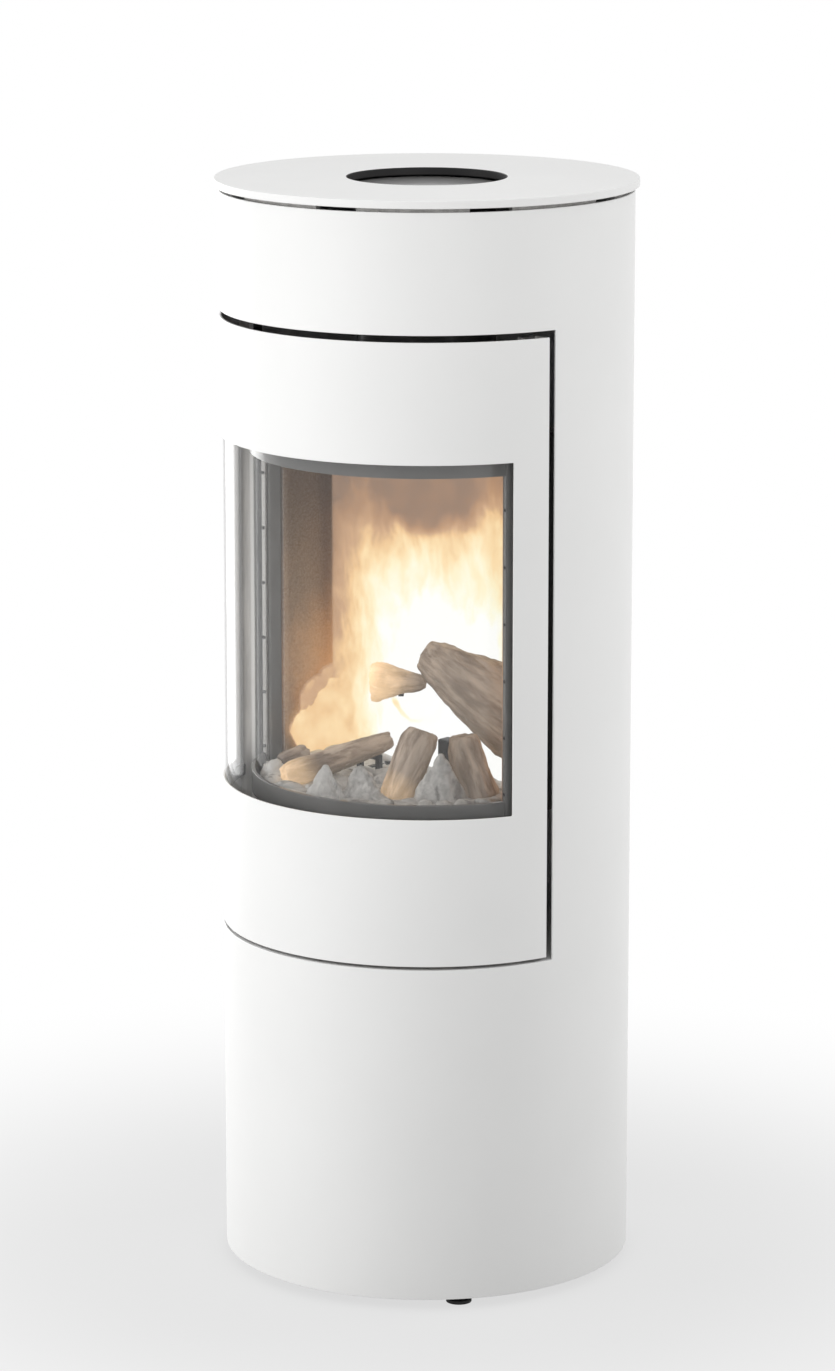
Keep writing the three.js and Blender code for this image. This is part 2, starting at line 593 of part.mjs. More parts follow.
// A knotty log between two points: its section swells and shrinks along and around it.
function logShape(from, to, sizeFrom, sizeTo, seed, rings = 8, sides = 12) {
  const along = to.clone().sub(from).normalize();
  const flat = Math.abs(along.z) > 0.9 ? new THREE.Vector3(0, 1, 0) : new THREE.Vector3(0, 0, 1);
  const side = new THREE.Vector3().crossVectors(along, flat).normalize();
  const up = new THREE.Vector3().crossVectors(side, along).normalize();
  const positions = [];
  for (let i = 0; i <= rings; i += 1) {
    const t = i / rings;
    const centre = from.clone().lerp(to, t);
    const taper = fireShare * (i === 0 || i === rings ? LOG_END : 1);
    for (let j = 0; j < sides; j += 1) {
      const turn = (j / sides) * 2 * Math.PI;
      const waves = Math.sin(2 * turn + seed + 3 * t) + 0.7 * Math.sin(3 * turn + 5 * t + 2 * seed);
      const knots = 1 + LOG_KNOTS * waves;
      const w = THREE.MathUtils.lerp(sizeFrom[0], sizeTo[0], t) * taper * knots;
      const h = THREE.MathUtils.lerp(sizeFrom[1], sizeTo[1], t) * taper * knots;
      const p = centre.clone().addScaledVector(side, w * Math.cos(turn))
        .addScaledVector(up, h * Math.sin(turn));
      positions.push(p.x, p.y, p.z);
    }
  }
  positions.push(from.x, from.y, from.z, to.x, to.y, to.z);
  const firstCap = (rings + 1) * sides;
  const faces = [];
  for (let j = 0; j < sides; j += 1) {
    const k = (j + 1) % sides;
    faces.push(firstCap, j, k, firstCap + 1, rings * sides + k, rings * sides + j);
    for (let i = 0; i < rings; i += 1) {
      const a = i * sides + j;
      const b = i * sides + k;
      faces.push(a, a + sides, b, b, a + sides, b + sides);
    }
  }
  const geometry = new THREE.BufferGeometry();
  geometry.setAttribute('position', new THREE.Float32BufferAttribute(positions, 3));
  geometry.setIndex(faces);
  return geometry;
}

// A rounded stone, its long side across the line from the middle of the stove.
function stoneShape(angle, out, width, depth, height, seed) {
  const geometry = new THREE.IcosahedronGeometry(1, 2);
  geometry.deleteAttribute('normal');
  geometry.deleteAttribute('uv');
  const stone = mergeVertices(geometry, 1e-4);
  const p = stone.attributes.position;
  for (let i = 0; i < p.count; i += 1) {
    const v = new THREE.Vector3().fromBufferAttribute(p, i);
    const lump = 1 + STONE_LUMPS * (Math.sin(3 * v.x + seed) + 0.9 * Math.sin(4 * v.y + 2 * seed + 2 * v.z));
    const narrowing = 1 - STONE_TAPER * Math.max(v.z, 0);
    p.setXYZ(i, v.x * width * lump * narrowing, v.y * depth * lump * narrowing, v.z * height * lump);
  }
  const centre = inFire(angle, out, height * STONE_SEAT);
  return stone.scale(fireShare, fireShare, fireShare).rotateZ(radians(angle)).translate(...centre);
}

function buildFire() {
  // The burner tray: a shallow pan with two gas slots under the logs.
  const trayR = fireGlassIn - FIT;
  const trayX = fireHalfW - FIT;
  const trayAngle = RING_HALF - TRAY_EDGE;
  const trayFront = fireFrontY - TRAY_STEP;
  const outline = [...arcPoints(trayR, -trayAngle, trayAngle),
    new THREE.Vector2(trayX - TRAY_EASE, trayFront), new THREE.Vector2(trayX, fireBackY - FIT),
    new THREE.Vector2(-trayX, fireBackY - FIT), new THREE.Vector2(TRAY_EASE - trayX, trayFront)];
  const slot = (y) => [[-1, -1], [1, -1], [1, 1], [-1, 1]].map(([sx, sy]) =>
    new THREE.Vector2(sx * BURNER_SLOT_L / 2, y + sy * BURNER_SLOT_W / 2));
  const slots = [slot(fireBackY - BURNER_BACK), slot(BURNER_FRONT - fireGlassIn)];
  add(stove, 'burner_tray', prism(outline, floorTop + FIT, bedTop, slots), greyPaint);
  add(stove, 'log_rack', rackShape(0), blackPaint);

  const hoodX = PILOT_LEFT * fireShare;
  const hoodBack = fireBackY - PILOT_GAP;
  add(stove, 'pilot_hood', box(hoodX, hoodX + PILOT_W * fireShare, hoodBack - PILOT_D * fireShare, hoodBack,
    bedTop + FIT, bedTop + PILOT_H * fireShare), blackPaint);

  // Everything that lies on the bed is flat underneath, notched where it sits on the rack, and
  // trimmed to the chamber's linings.
  const belowBed = box(-BODY_R, BODY_R, -BODY_R, BODY_R, 0, bedTop + FIT);
  const notch = rackShape(FIT);
  const pastSide = box(fireHalfW - FIT, BODY_R, -BODY_R, BODY_R, bedTop, roofUnder);
  const pastBack = box(-BODY_R, BODY_R, fireBackY - FIT, BODY_R, bedTop, roofUnder);

  // Each log: its two ends, its half width and half height at each end, and a seed.
  const logs = [
    [inFire(-51.3, 86.4, 5), inFire(-61, 74.1, 9.4), [6, 6], [5.2, 5.2], 1.0],
    [inFire(-24, 91.3, 7.2), inFire(-35.3, 22.5, 21.5), [8.4, 8.2], [5.6, 5.6], 2.1],
    [inFire(26.6, 70.8, -3.2), inFire(39.2, 61.1, 39.5), [11.4, 9.8], [11.8, 10.2], 3.3],
    [inFire(68, 66.5, -3.2), inFire(61.5, 61.7, 35.5), [17, 12.4], [10, 8.6], 4.2],
    [inFire(39.3, 23.1, 77.8), inFire(90, 81.1, 42.1), [9.2, 10.2], [12.4, 35.6], 5.4],
    [inFire(-14.5, 39.4, 60.8), inFire(39, 24.4, 60.6), [10.8, 14.2], [4.2, 3.4], 6.6],
  ];
  logs.forEach(([from, to, sizeFrom, sizeTo, seed], i) => {
    const shape = logShape(from, to, sizeFrom, sizeTo, seed);
    add(stove, `log_${i + 1}`, cut(shape, belowBed, notch, pastSide, pastBack), ceramicLog);
  });

  // Each stone: its angle, distance from the axis, half width, half depth, half height and a seed.
  const stones = [
    [47.2, 77, 15.8, 9.4, 24.5, 0.4],
    [-41.7, 90.3, 9, 6.5, 10.5, 1.7],
    [0.6, 89.4, 15.5, 6.6, 17.2, 2.6],
    [13.2, 78.4, 11.8, 8, 19.5, 3.9],
  ];
  stones.forEach((place, i) => {
    add(stove, `stone_${i + 1}`, cut(stoneShape(...place), belowBed), ceramicStone);
  });
}

// ---------------------------------------------------------------- gas control
function buildControl() {
  const standLow = openLow + FIT;
  const bodyLow = openLow + VALVE_LIFT;
  const bodyHigh = bodyLow + VALVE_H;
  const x0 = VALVE_X - VALVE_W / 2;
  const x1 = VALVE_X + VALVE_W / 2;
  const middleZ = (bodyLow + bodyHigh) / 2;
  const turnedForward = (r, y0, y1) => new THREE.CylinderGeometry(r, r, y1 - y0, SMALL_SIDES)
    .translate(VALVE_X, (y0 + y1) / 2, middleZ);
  const spindleY = valveY - SPINDLE_L;
  const body = join(box(x0, x1, valveY, valveY + VALVE_D, bodyLow, bodyHigh),
    box(x0, x0 + VALVE_FOOT_W, valveY, valveY + VALVE_D, standLow, bodyLow + LAP),
    box(x1 - VALVE_FOOT_W, x1, valveY, valveY + VALVE_D, standLow, bodyLow + LAP),
    turnedForward(SPINDLE_R, spindleY, valveY + LAP));
  add(stove, 'gas_valve', body, brass);

  const knobBack = spindleY - RUN_FIT;
  const knobFront = knobBack - KNOB_L;
  const skirt = turnedForward(KNOB_R, knobBack - KNOB_L / 2, knobBack);
  const grip = box(VALVE_X - KNOB_GRIP / 2, VALVE_X + KNOB_GRIP / 2, knobFront, knobBack - LAP,
    middleZ - KNOB_R + LAP, middleZ + KNOB_R - LAP);
  add(stove, 'control_knob', join(skirt, grip), plastic);

  add(stove, 'receiver_box', box(-VALVE_X - RECEIVER_W / 2, -VALVE_X + RECEIVER_W / 2, valveY,
    valveY + RECEIVER_D, standLow, standLow + RECEIVER_H), plastic);

  // The supply pipe drops through the shelf, swings over to its outlet and leaves through the
  // base plate. Its bends lie at shares of the height between the two.
  const drop = (share) => openLow - share * (openLow - baseTop);
  const supply = [[pipeInlet.x, pipeInlet.y, bodyLow - FIT], [pipeInlet.x, pipeInlet.y, drop(0.16)],
    [pipeInlet.x, pipeInlet.y, drop(0.38)], [pipeOutlet.x, pipeOutlet.y, drop(0.7)],
    [pipeOutlet.x, pipeOutlet.y, drop(0.9)], [pipeOutlet.x, pipeOutlet.y, FOOT_PAD_H]];
  add(stove, 'gas_inlet_pipe', rod(supply, PIPE_R, 28), brass);

  const feedStart = valveY + VALVE_D;
  const feed = [[VALVE_X, feedStart + FIT, middleZ], [VALVE_X, feedStart + FEED_RUN, middleZ],
    [feedTop.x, feedTop.y, middleZ + FEED_RISE], [feedTop.x, feedTop.y, floorTop - FEED_END],
    [feedTop.x, feedTop.y, floorTop]];
  add(stove, 'burner_feed_pipe', rod(feed, FEED_R, 24), brass);
}

buildCasing();
buildShelves();
buildTop();
buildDoor();
buildFireWindow();
buildChamber();
buildFire();
buildControl();

export default stove;
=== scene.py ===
# %% [markdown]
# # A round steel stove with a curved glass door
# The stove is a white drum with one wide, curved, glazed door. Behind the glass a gas fire burns
# over ceramic logs and grey pebbles. The solids come from the CAD model, in metres, with the
# origin on the floor under the drum, the front towards -Y and Z up. Everything made here is
# dressed on that frame: a piece that is drawn finer takes a solid's place, and the rest of the
# solids keep their shape and get a better finish.

# %% Load the frame
import math

import bmesh
import bpy
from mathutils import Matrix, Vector, noise


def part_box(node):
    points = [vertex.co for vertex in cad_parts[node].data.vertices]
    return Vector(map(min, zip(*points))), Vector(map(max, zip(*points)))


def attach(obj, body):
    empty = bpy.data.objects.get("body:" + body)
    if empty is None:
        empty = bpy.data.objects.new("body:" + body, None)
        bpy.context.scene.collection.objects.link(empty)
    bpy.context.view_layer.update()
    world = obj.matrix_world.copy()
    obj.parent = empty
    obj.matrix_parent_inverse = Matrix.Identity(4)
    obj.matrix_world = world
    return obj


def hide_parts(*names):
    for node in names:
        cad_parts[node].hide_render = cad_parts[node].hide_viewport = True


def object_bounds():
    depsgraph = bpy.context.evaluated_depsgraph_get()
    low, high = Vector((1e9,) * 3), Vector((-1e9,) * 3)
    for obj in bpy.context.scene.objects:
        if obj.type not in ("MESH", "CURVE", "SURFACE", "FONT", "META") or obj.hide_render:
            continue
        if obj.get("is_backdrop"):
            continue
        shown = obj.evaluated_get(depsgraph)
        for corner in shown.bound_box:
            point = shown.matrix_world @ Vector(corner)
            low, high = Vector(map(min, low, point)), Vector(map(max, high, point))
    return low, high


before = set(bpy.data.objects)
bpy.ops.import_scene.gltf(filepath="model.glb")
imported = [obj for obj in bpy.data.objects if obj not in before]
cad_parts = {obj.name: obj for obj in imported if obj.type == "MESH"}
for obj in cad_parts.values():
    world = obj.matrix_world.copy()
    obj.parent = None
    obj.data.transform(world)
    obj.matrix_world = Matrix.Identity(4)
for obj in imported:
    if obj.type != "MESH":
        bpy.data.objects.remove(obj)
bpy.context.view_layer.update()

MM = 0.001

# %% [markdown]
# ## Where the camera stands
# The picture is taken from far away with a long lens, 41.6 degrees to the right of the front and
# a little above the top plate, so the drum's sides stay almost parallel. The lens, the distance
# and the height were worked out from the edges of the drum and of its door.

# %% Camera
VIEW_TURN = math.radians(41.6)
VIEW_AWAY = 5.399
VIEW_HIGH = 1.816

lens = bpy.data.cameras.new("camera")
lens.lens = 131.66
lens.sensor_width = 36
lens.sensor_fit = "AUTO"
camera = bpy.data.objects.new("camera", lens)
camera.location = (VIEW_AWAY * math.sin(VIEW_TURN), -VIEW_AWAY * math.cos(VIEW_TURN), VIEW_HIGH)
camera.rotation_euler = (math.radians(90 - 12.234), 0, VIEW_TURN + math.radians(0.107))
bpy.context.scene.collection.objects.link(camera)
bpy.context.scene.camera = camera
bpy.context.scene.view_settings.view_transform = "Standard"
print("camera at", [round(v, 3) for v in camera.location])

# %% [markdown]
# ## Node maths written as sums
# A material is a chain of small nodes. Wiring them by hand hides what is worked out, so one class
# wraps a socket and lets it be added, multiplied and compared like a number. Its `node` method
# makes every other kind of node: first the type, then its settings, then what goes in its sockets.


# %% The class that writes node maths
class Wire:
    def __init__(self, tree, socket=None):
        self.tree, self.socket = tree, socket

    def node(self, kind, settings=None, values=None, out=0):
        made = self.tree.nodes.new(kind)
        for key, value in (settings or {}).items():
            if key == "stops":
                stops = made.color_ramp.elements
                for i, (place, colour) in enumerate(value):
                    stop = stops[i] if i < 2 else stops.new(place)
                    stop.position, stop.color = place, colour
            else:
                setattr(made, key, value)
        for key, value in (values or {}).items():
            if isinstance(value, Wire):
                self.tree.links.new(value.socket, made.inputs[key])
            else:
                made.inputs[key].default_value = value
        return Wire(self.tree, made.outputs[out] if len(made.outputs) else None)

    def out(self, name):
        return Wire(self.tree, self.socket.node.outputs[name])

    def maths(self, operation, *values):
        return self.node("ShaderNodeMath", {"operation": operation}, dict(enumerate(values)))

    def vector(self, operation, *values, by=None):
        """Maths on vectors. SCALE takes a number by, and LENGTH and DISTANCE give a number."""
        sockets = dict(enumerate(values))
        if by is not None:
            sockets[3] = by
        number = operation in ("LENGTH", "DISTANCE")
        return self.node("ShaderNodeVectorMath", {"operation": operation}, sockets,
                         out="Value" if number else 0)

    def part(self, place, axis="X"):
        """One coordinate of a place. The wire's out method gives the other two."""
        return self.node("ShaderNodeSeparateXYZ", None, {0: place}, out=axis)

    def __add__(self, other):
        return self.maths("ADD", self, other)

    def __sub__(self, other):
        return self.maths("SUBTRACT", self, other)

    def __rsub__(self, other):
        return self.maths("SUBTRACT", other, self)

    def __mul__(self, other):
        return self.maths("MULTIPLY", self, other)

    def __truediv__(self, other):
        return self.maths("DIVIDE", self, other)

    def __pow__(self, other):
        return self.maths("POWER", self, other)

    __radd__ = __add__
    __rmul__ = __mul__

    def least(self, other):
        return self.maths("MINIMUM", self, other)

    def most(self, other):
        return self.maths("MAXIMUM", self, other)

    def rise(self, low, high):
        """0 below low, 1 above high, and smooth in between."""
        return self.node("ShaderNodeMapRange", {"interpolation_type": "SMOOTHSTEP"},
                         {"Value": self, "From Min": low, "From Max": high})

    def blend(self, share, first, second):
        """A colour between two colours."""
        return self.node("ShaderNodeMix", {"data_type": "RGBA"},
                         {0: share, 6: first, 7: second}, out=2)

    def grain(self, place, scale, detail=3.0, rough=0.5, stretch=(1, 1, 1), turn=(0, 0, 0)):
        """Noise from 0 to 1 at a place, drawn out or turned by a Mapping node."""
        moved = self.node("ShaderNodeMapping", {"vector_type": "POINT"},
                          {"Vector": place, "Scale": stretch, "Rotation": turn})
        return self.node("ShaderNodeTexNoise", None,
                         {"Vector": moved, "Scale": scale, "Detail": detail, "Roughness": rough})

    def cells(self, place, scale, out="Distance"):
        """Voronoi cells: how far their middle is, or each cell's own colour."""
        return self.node("ShaderNodeTexVoronoi", None, {"Vector": place, "Scale": scale}, out=out)

    def bump(self, height, strength, depth):
        return self.node("ShaderNodeBump", None, out="Normal", values={
            "Strength": strength, "Distance": depth, "Height": height})


# %% Helpers for colours and finishes
BLACK, WHITE = (0, 0, 0, 1), (1, 1, 1, 1)


def shade(red, green, blue):
    """A colour as it reads on a screen, 0 to 255, in the linear values that nodes want."""
    def linear(v):
        v = v / 255
        return v / 12.92 if v <= 0.04045 else ((v + 0.055) / 1.055) ** 2.4
    return (linear(red), linear(green), linear(blue), 1)


def new_finish(name):
    """An empty material, its first wire and the wire of the Object coordinates."""
    made = bpy.data.materials.new(name)
    made.use_nodes = True
    made.node_tree.nodes.clear()
    start = Wire(made.node_tree)
    return made, start, start.node("ShaderNodeTexCoord", out="Object")


def show(start, shader):
    """Puts a shader on the material's output."""
    start.node("ShaderNodeOutputMaterial", None, {"Surface": shader})


def coat(start, values):
    """The Principled shader with these values, on the material's output."""
    show(start, start.node("ShaderNodeBsdfPrincipled", None, values))


def from_axis(start, place):
    """The distance from the stove's axis, in metres."""
    return start.vector("LENGTH", start.vector("MULTIPLY", place, (1, 1, 0)))


# %% [markdown]
# ## The white coat
# Casing, door and top plate are sprayed with white powder and baked. Such a coat is not quite
# smooth: it has a very fine orange-peel and is a touch thinner here and there. Both are noise on
# the Object coordinates, one in the bump and one in the gloss, so no picture is needed.

# %% Painted steel
white_coat, w, at = new_finish("white_powder_coat")
peel = w.grain(at, 900, 2)
cloud = w.grain(at, 9, 3)
coat(w, {"Base Color": w.blend(cloud, shade(238, 238, 237), shade(243, 243, 242)),
         "Roughness": 0.36 + 0.1 * w.grain(at, 140, 2), "Specular IOR Level": 0.4,
         "Normal": w.bump(peel, 0.25, 0.0002)})

grey_coat, w, at = new_finish("dark_grey_coat")
speck = w.grain(at, 700, 2)
cloud = w.grain(at, 14, 4).rise(0.3, 0.7)
coat(w, {"Base Color": w.blend(cloud, shade(100, 100, 99), shade(114, 113, 112)),
         "Roughness": 0.3 + 0.14 * w.grain(at, 60, 3), "Coat Weight": 0.7, "Coat Roughness": 0.12,
         "Normal": w.bump(speck, 0.3, 0.0002)})

pale_steel, w, at = new_finish("pale_galvanized_sheet")
streak = w.grain(at, 70, 4, 0.6, stretch=(1, 1, 0.12))
tone = w.blend(streak.rise(0.35, 0.65), shade(212, 210, 207), shade(236, 234, 231))
radius = from_axis(w, at)
# Painted highlight: a bright band 200 to 208.5 mm from the axis, along the stiles' inner folds, for
# the light that a rounded fold catches.
folded = (1 - radius.rise(0.2085, 0.2105)) * radius.rise(0.198, 0.2)
tone = w.blend(folded, tone, shade(252, 251, 249))
coat(w, {"Base Color": tone, "Metallic": 0.25, "Roughness": 0.4 + 0.14 * streak,
         "Normal": w.bump(w.grain(at, 500, 2), 0.2, 0.0002)})

black_coat, w, at = new_finish("black_coat")
speck = w.grain(at, 800, 2)
cloud = w.grain(at, 20, 4).rise(0.35, 0.7)
coat(w, {"Base Color": w.blend(cloud, shade(22, 22, 23), shade(36, 35, 35)),
         "Roughness": 0.42 + 0.16 * w.grain(at, 80, 3),
         "Normal": w.bump(speck, 0.35, 0.0002)})
print("painted finishes:", white_coat.name, grey_coat.name, pale_steel.name, black_coat.name)

# %% [markdown]
# ## Bare metal, rubber and plastic
# Zinc has large dull crystals, which Voronoi cells draw well. Brass is turned and then handled, so
# its gloss is uneven. Rubber and moulded plastic only differ from plain black in their fine grain.

# %% Small metal and plastic parts
zinc, w, at = new_finish("zinc_steel")
flake = w.node("ShaderNodeSeparateColor", None, {0: w.cells(at, 160, out="Color")})
coat(w, {"Base Color": w.blend(flake, shade(150, 153, 156), shade(188, 190, 192)),
         "Metallic": 0.9, "Roughness": 0.28 + 0.22 * w.grain(at, 45, 4),
         "Normal": w.bump(w.grain(at, 500, 2), 0.2, 0.0002)})

brass, w, at = new_finish("brass")
worn = w.grain(at, 30, 5).rise(0.35, 0.7)
coat(w, {"Base Color": w.blend(worn, shade(201, 162, 92), shade(150, 112, 58)),
         "Metallic": 0.95, "Roughness": 0.24 + 0.22 * worn,
         "Normal": w.bump(w.grain(at, 350, 3), 0.25, 0.0003)})

rubber, w, at = new_finish("foot_rubber")
dust = w.grain(at, 60, 4).rise(0.5, 0.8)
coat(w, {"Base Color": w.blend(dust, shade(24, 24, 25), shade(58, 56, 53)),
         "Roughness": 0.7 + 0.2 * dust,
         "Normal": w.bump(w.grain(at, 900, 2), 0.4, 0.0002)})

plastic, w, at = new_finish("black_plastic")
coat(w, {"Base Color": w.blend(w.grain(at, 25, 3), shade(32, 33, 35), shade(43, 44, 46)),
         "Roughness": 0.48 + 0.12 * w.grain(at, 200, 2),
         "Normal": w.bump(w.cells(at, 1400), 0.35, 0.0002)})
print("small finishes:", zinc.name, brass.name, rubber.name, plastic.name)

# %% [markdown]
# ## What the fire has touched
# The boards that line the chamber are pressed vermiculite: brown grey, with coarse grains, and
# sooted towards the top. The logs are cast ceramic, painted like bark, darker and flecked with pale
# ash on the faces that point down. Both finishes carry painted firelight: a little warm emission,
# low down, towards the back and on spots close to the flames, for the light that the flames throw.

# %% Lining, logs and stones
def firelight_mask(start, place):
    """1 where the flames stand, fading outwards: low, and towards the middle of the back. It places
    the painted firelight on the boards and the logs.
    """
    spot = start.vector("SUBTRACT", place, (0.035, 0.0, 0.66))
    away = start.vector("LENGTH", start.vector("MULTIPLY", spot, (1.0, 0.55, 0.62)))
    return 1 - (away + 0.09 * (start.grain(place, 11, 4) - 0.5)).rise(0.05, 0.23)


def near(start, place, spot, reach):
    """1 close to a spot, fading to 0 at a reach in metres, with a ragged edge."""
    away = start.vector("DISTANCE", place, spot)
    return 1 - (away + 0.3 * reach * (start.grain(place, 60, 3) - 0.5)).rise(0.0, reach)


lining, w, at = new_finish("fire_lining")
# Painted firelight: warm emission near the flames, and on a spot of the left board, for the light
# that the flames throw on the boards.
painted_firelight = firelight_mask(w, at)
chips = w.cells(at, 260)
crumbs = w.grain(at, 420, 4, 0.7)
tone = w.blend(crumbs.rise(0.3, 0.75), shade(148, 136, 128), shade(186, 173, 163))
soot = (w.part(at, "Z") + 0.06 * (w.grain(at, 16, 4) - 0.5)).rise(0.8, 0.95)
tone = w.blend(soot * 0.12, tone, shade(84, 74, 68))
painted_firelight = painted_firelight.most(near(w, at, (-0.154, 0.02, 0.64), 0.13) * 0.6)
coat(w, {"Base Color": tone, "Roughness": 0.82 + 0.12 * chips,
         "Emission Color": w.blend(painted_firelight, BLACK, shade(255, 176, 96)), "Emission Strength": 0.55,
         "Normal": w.bump(chips * 0.6 + crumbs, 0.5, 0.0008)})

log_ceramic, w, at = new_finish("log_ceramic")
bark = w.node("ShaderNodeAttribute", {"attribute_name": "bark"}, out="Vector")
grooves = w.grain(bark, 80, 6, 0.65, stretch=(0.2, 1, 1))
patches = w.grain(bark, 30, 4, 0.6, stretch=(0.6, 1, 1))
pores = w.grain(at, 900, 2)
under = 1 - w.part(w.node("ShaderNodeNewGeometry", out="Normal"), "Z").rise(-0.75, 0.1)
tone = w.blend(grooves.rise(0.36, 0.62), shade(124, 109, 100), shade(206, 189, 175))
tone = w.blend(patches.rise(0.56, 0.7) * 0.8, tone, shade(222, 208, 194))
# Darker on the faces that point down, and in random patches.
darkened = (under * 0.75 + patches.rise(0.62, 0.4) * 0.3).least(1.0)
tone = w.blend(darkened, tone, shade(118, 113, 110))
ash = w.grain(bark, 260, 3, 0.6, stretch=(0.4, 1, 1)).rise(0.6, 0.68) * under
tone = w.blend(ash * 0.8, tone, shade(226, 220, 212))
# Painted firelight on the logs: warm emission near the flames, strongest on three listed spots
# close to them.
painted_flame_light = firelight_mask(w, at) * 0.06
for spot, reach, share in [((-0.022, -0.09, 0.668), 0.08, 1.0),
                           ((-0.07, -0.155, 0.56), 0.05, 0.6),
                           ((0.06, -0.118, 0.556), 0.035, 0.45)]:
    painted_flame_light = painted_flame_light.most(near(w, at, spot, reach) * share)
coat(w, {"Base Color": tone, "Roughness": 0.86, "Specular IOR Level": 0.25,
         "Emission Color": w.blend(painted_flame_light, BLACK, shade(255, 214, 162)), "Emission Strength": 1.3,
         "Normal": w.bump(grooves + 0.35 * pores, 0.85, 0.002)})

stone_ceramic, w, at = new_finish("stone_ceramic")
veins = w.grain(at, 60, 6, 0.65, stretch=(1, 1, 0.35), turn=(0.4, 0.3, 0.0))
marble = w.grain(at, 150, 5, 0.6)
tone = w.blend(marble.rise(0.3, 0.7), shade(176, 173, 170), shade(212, 209, 206))
# Painted light: the stones are lighter towards the left, where the light from the left falls on
# them.
painted_left_light = 1 - (w.part(at, "X") + 0.03 * (marble - 0.5)).rise(-0.035, 0.025)
tone = w.blend(painted_left_light * 0.7, tone, shade(222, 220, 217))
tone = w.blend(veins.rise(0.56, 0.64) * 0.75, tone, shade(226, 223, 219))
tone = w.blend(veins.rise(0.45, 0.36) * 0.6, tone, shade(104, 101, 98))
coat(w, {"Base Color": tone, "Roughness": 0.74 + 0.14 * marble,
         "Normal": w.bump(veins + 0.3 * marble, 0.4, 0.001)})
print("fire finishes:", lining.name, log_ceramic.name, stone_ceramic.name)

# %% [markdown]
# ## Glass
# A pane is mostly clear, and mirrors more the flatter one looks along it. Refraction in a thin
# bent pane only costs render time, so the pane lets light straight through and mixes in a sharp
# reflection. Its share grows with a power of how flat one looks along the glass, which is the
# same from both faces of the pane; the Fresnel node would mirror everything on the way out. The
# fire's own pane is coated on its inner face, which mirrors hardly at all.

# %% Clear glass
def glass_finish(name, flat_mirror, fade, inner_face=0.0):
    """A clear pane that mirrors this much where one looks flat along it, and how fast that fades.
    The face nearer to the axis than inner_face, in metres, is coated and mirrors hardly at all."""
    made, w, at = new_finish(name)
    see = w.node("ShaderNodeBsdfTransparent", None, {"Color": (0.968, 0.968, 0.966, 1)})
    mirror = w.node("ShaderNodeBsdfGlossy", None,
                    {"Color": (0.97, 0.97, 0.97, 1), "Roughness": 0.02})
    flatness = w.node("ShaderNodeLayerWeight", None, {"Blend": 0.5}, out="Facing")
    bare = from_axis(w, at).rise(inner_face + 0.001, inner_face + 0.002)
    straight_on, film = 0.018, 0.006 * w.grain(at, 12, 3)
    share = straight_on + flat_mirror * flatness ** fade * bare + film
    show(w, w.node("ShaderNodeMixShader", None, {0: share, 1: see, 2: mirror}))
    return made


clear_glass = glass_finish("clear_glass", flat_mirror=1.1, fade=8)
shaded_glass = glass_finish("shaded_fire_glass", flat_mirror=1.0, fade=12, inner_face=0.1852)
print("glass:", clear_glass.name, shaded_glass.name)

# %% [markdown]
# ## From mesh code to a finished piece
# Every piece ends the same way: its mesh becomes an object at the origin, its long edges stay
# sharp and its round faces smooth, it rides on a body of the frame, and the solids that it stands
# for are hidden. One function does that, so that no piece forgets a step.


# %% Helpers that finish a piece
def object_from(name, bm):
    """An object of this mesh, at the origin, with its faces pointing outwards."""
    bmesh.ops.remove_doubles(bm, verts=bm.verts, dist=1e-7)
    bmesh.ops.recalc_face_normals(bm, faces=bm.faces)
    mesh = bpy.data.meshes.new(name)
    bm.to_mesh(mesh)
    bm.free()
    piece = bpy.data.objects.new(name, mesh)
    bpy.context.scene.collection.objects.link(piece)
    return piece


def settle(piece):
    """Turns a piece and its modifiers into one plain mesh."""
    bpy.context.view_layer.update()
    graph = bpy.context.evaluated_depsgraph_get()
    plain = bpy.data.meshes.new_from_object(piece.evaluated_get(graph), depsgraph=graph)
    piece.modifiers.clear()
    piece.data = plain
    return piece


def dress(piece, body, slot, *nodes, finish=None, angle=16):
    """Gives a piece its finish and its body, and hides the solids that it stands for. Faces that
    meet at more than the angle keep a crisp edge, so a bevel never bends the shading of a long
    sheet."""
    if finish is not None:
        piece.data.materials.clear()
        piece.data.materials.append(finish)
    piece.data.polygons.foreach_set("use_smooth", [True] * len(piece.data.polygons))
    piece.data.set_sharp_from_angle(angle=math.radians(angle))
    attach(piece, body)
    if nodes:
        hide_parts(*nodes)
    print(piece.name, "faces:", len(piece.data.polygons))
    return piece


def bevel(bm, edges, width, steps):
    bmesh.ops.bevel(bm, geom=edges, offset=width, segments=steps, profile=0.5, affect="EDGES",
                    clamp_overlap=True)


def sharp_edges(bm, least):
    """The edges where two faces meet at more than an angle, in degrees."""
    return [e for e in bm.edges if e.is_manifold and e.calc_face_angle() > math.radians(least)]


def round_edges(bm, width, steps=2, least=50.0):
    bevel(bm, sharp_edges(bm, least), width, steps)


# %% [markdown]
# ## Rolled sheets, with Geometry Nodes
# The casing, the door and both panes are flat blanks that are rolled round the stove's axis. The
# script works the same way: it cuts a flat blank with its window, rounds its edges a little, and
# a node tree rolls it to a radius. A finer or a wider drum is then only another number.

# %% The tree that rolls a blank
def new_tree(name, *inputs):
    """A geometry tree with named inputs, its first wire and the wires of those inputs."""
    tree = bpy.data.node_groups.new(name, "GeometryNodeTree")
    tree.interface.new_socket("Geometry", in_out="OUTPUT", socket_type="NodeSocketGeometry")
    for label, kind in inputs:
        tree.interface.new_socket(label, in_out="INPUT", socket_type="NodeSocket" + kind)
    start = Wire(tree)
    group = start.node("NodeGroupInput")
    return tree, start, {label: group.out(label) for label, _ in inputs}


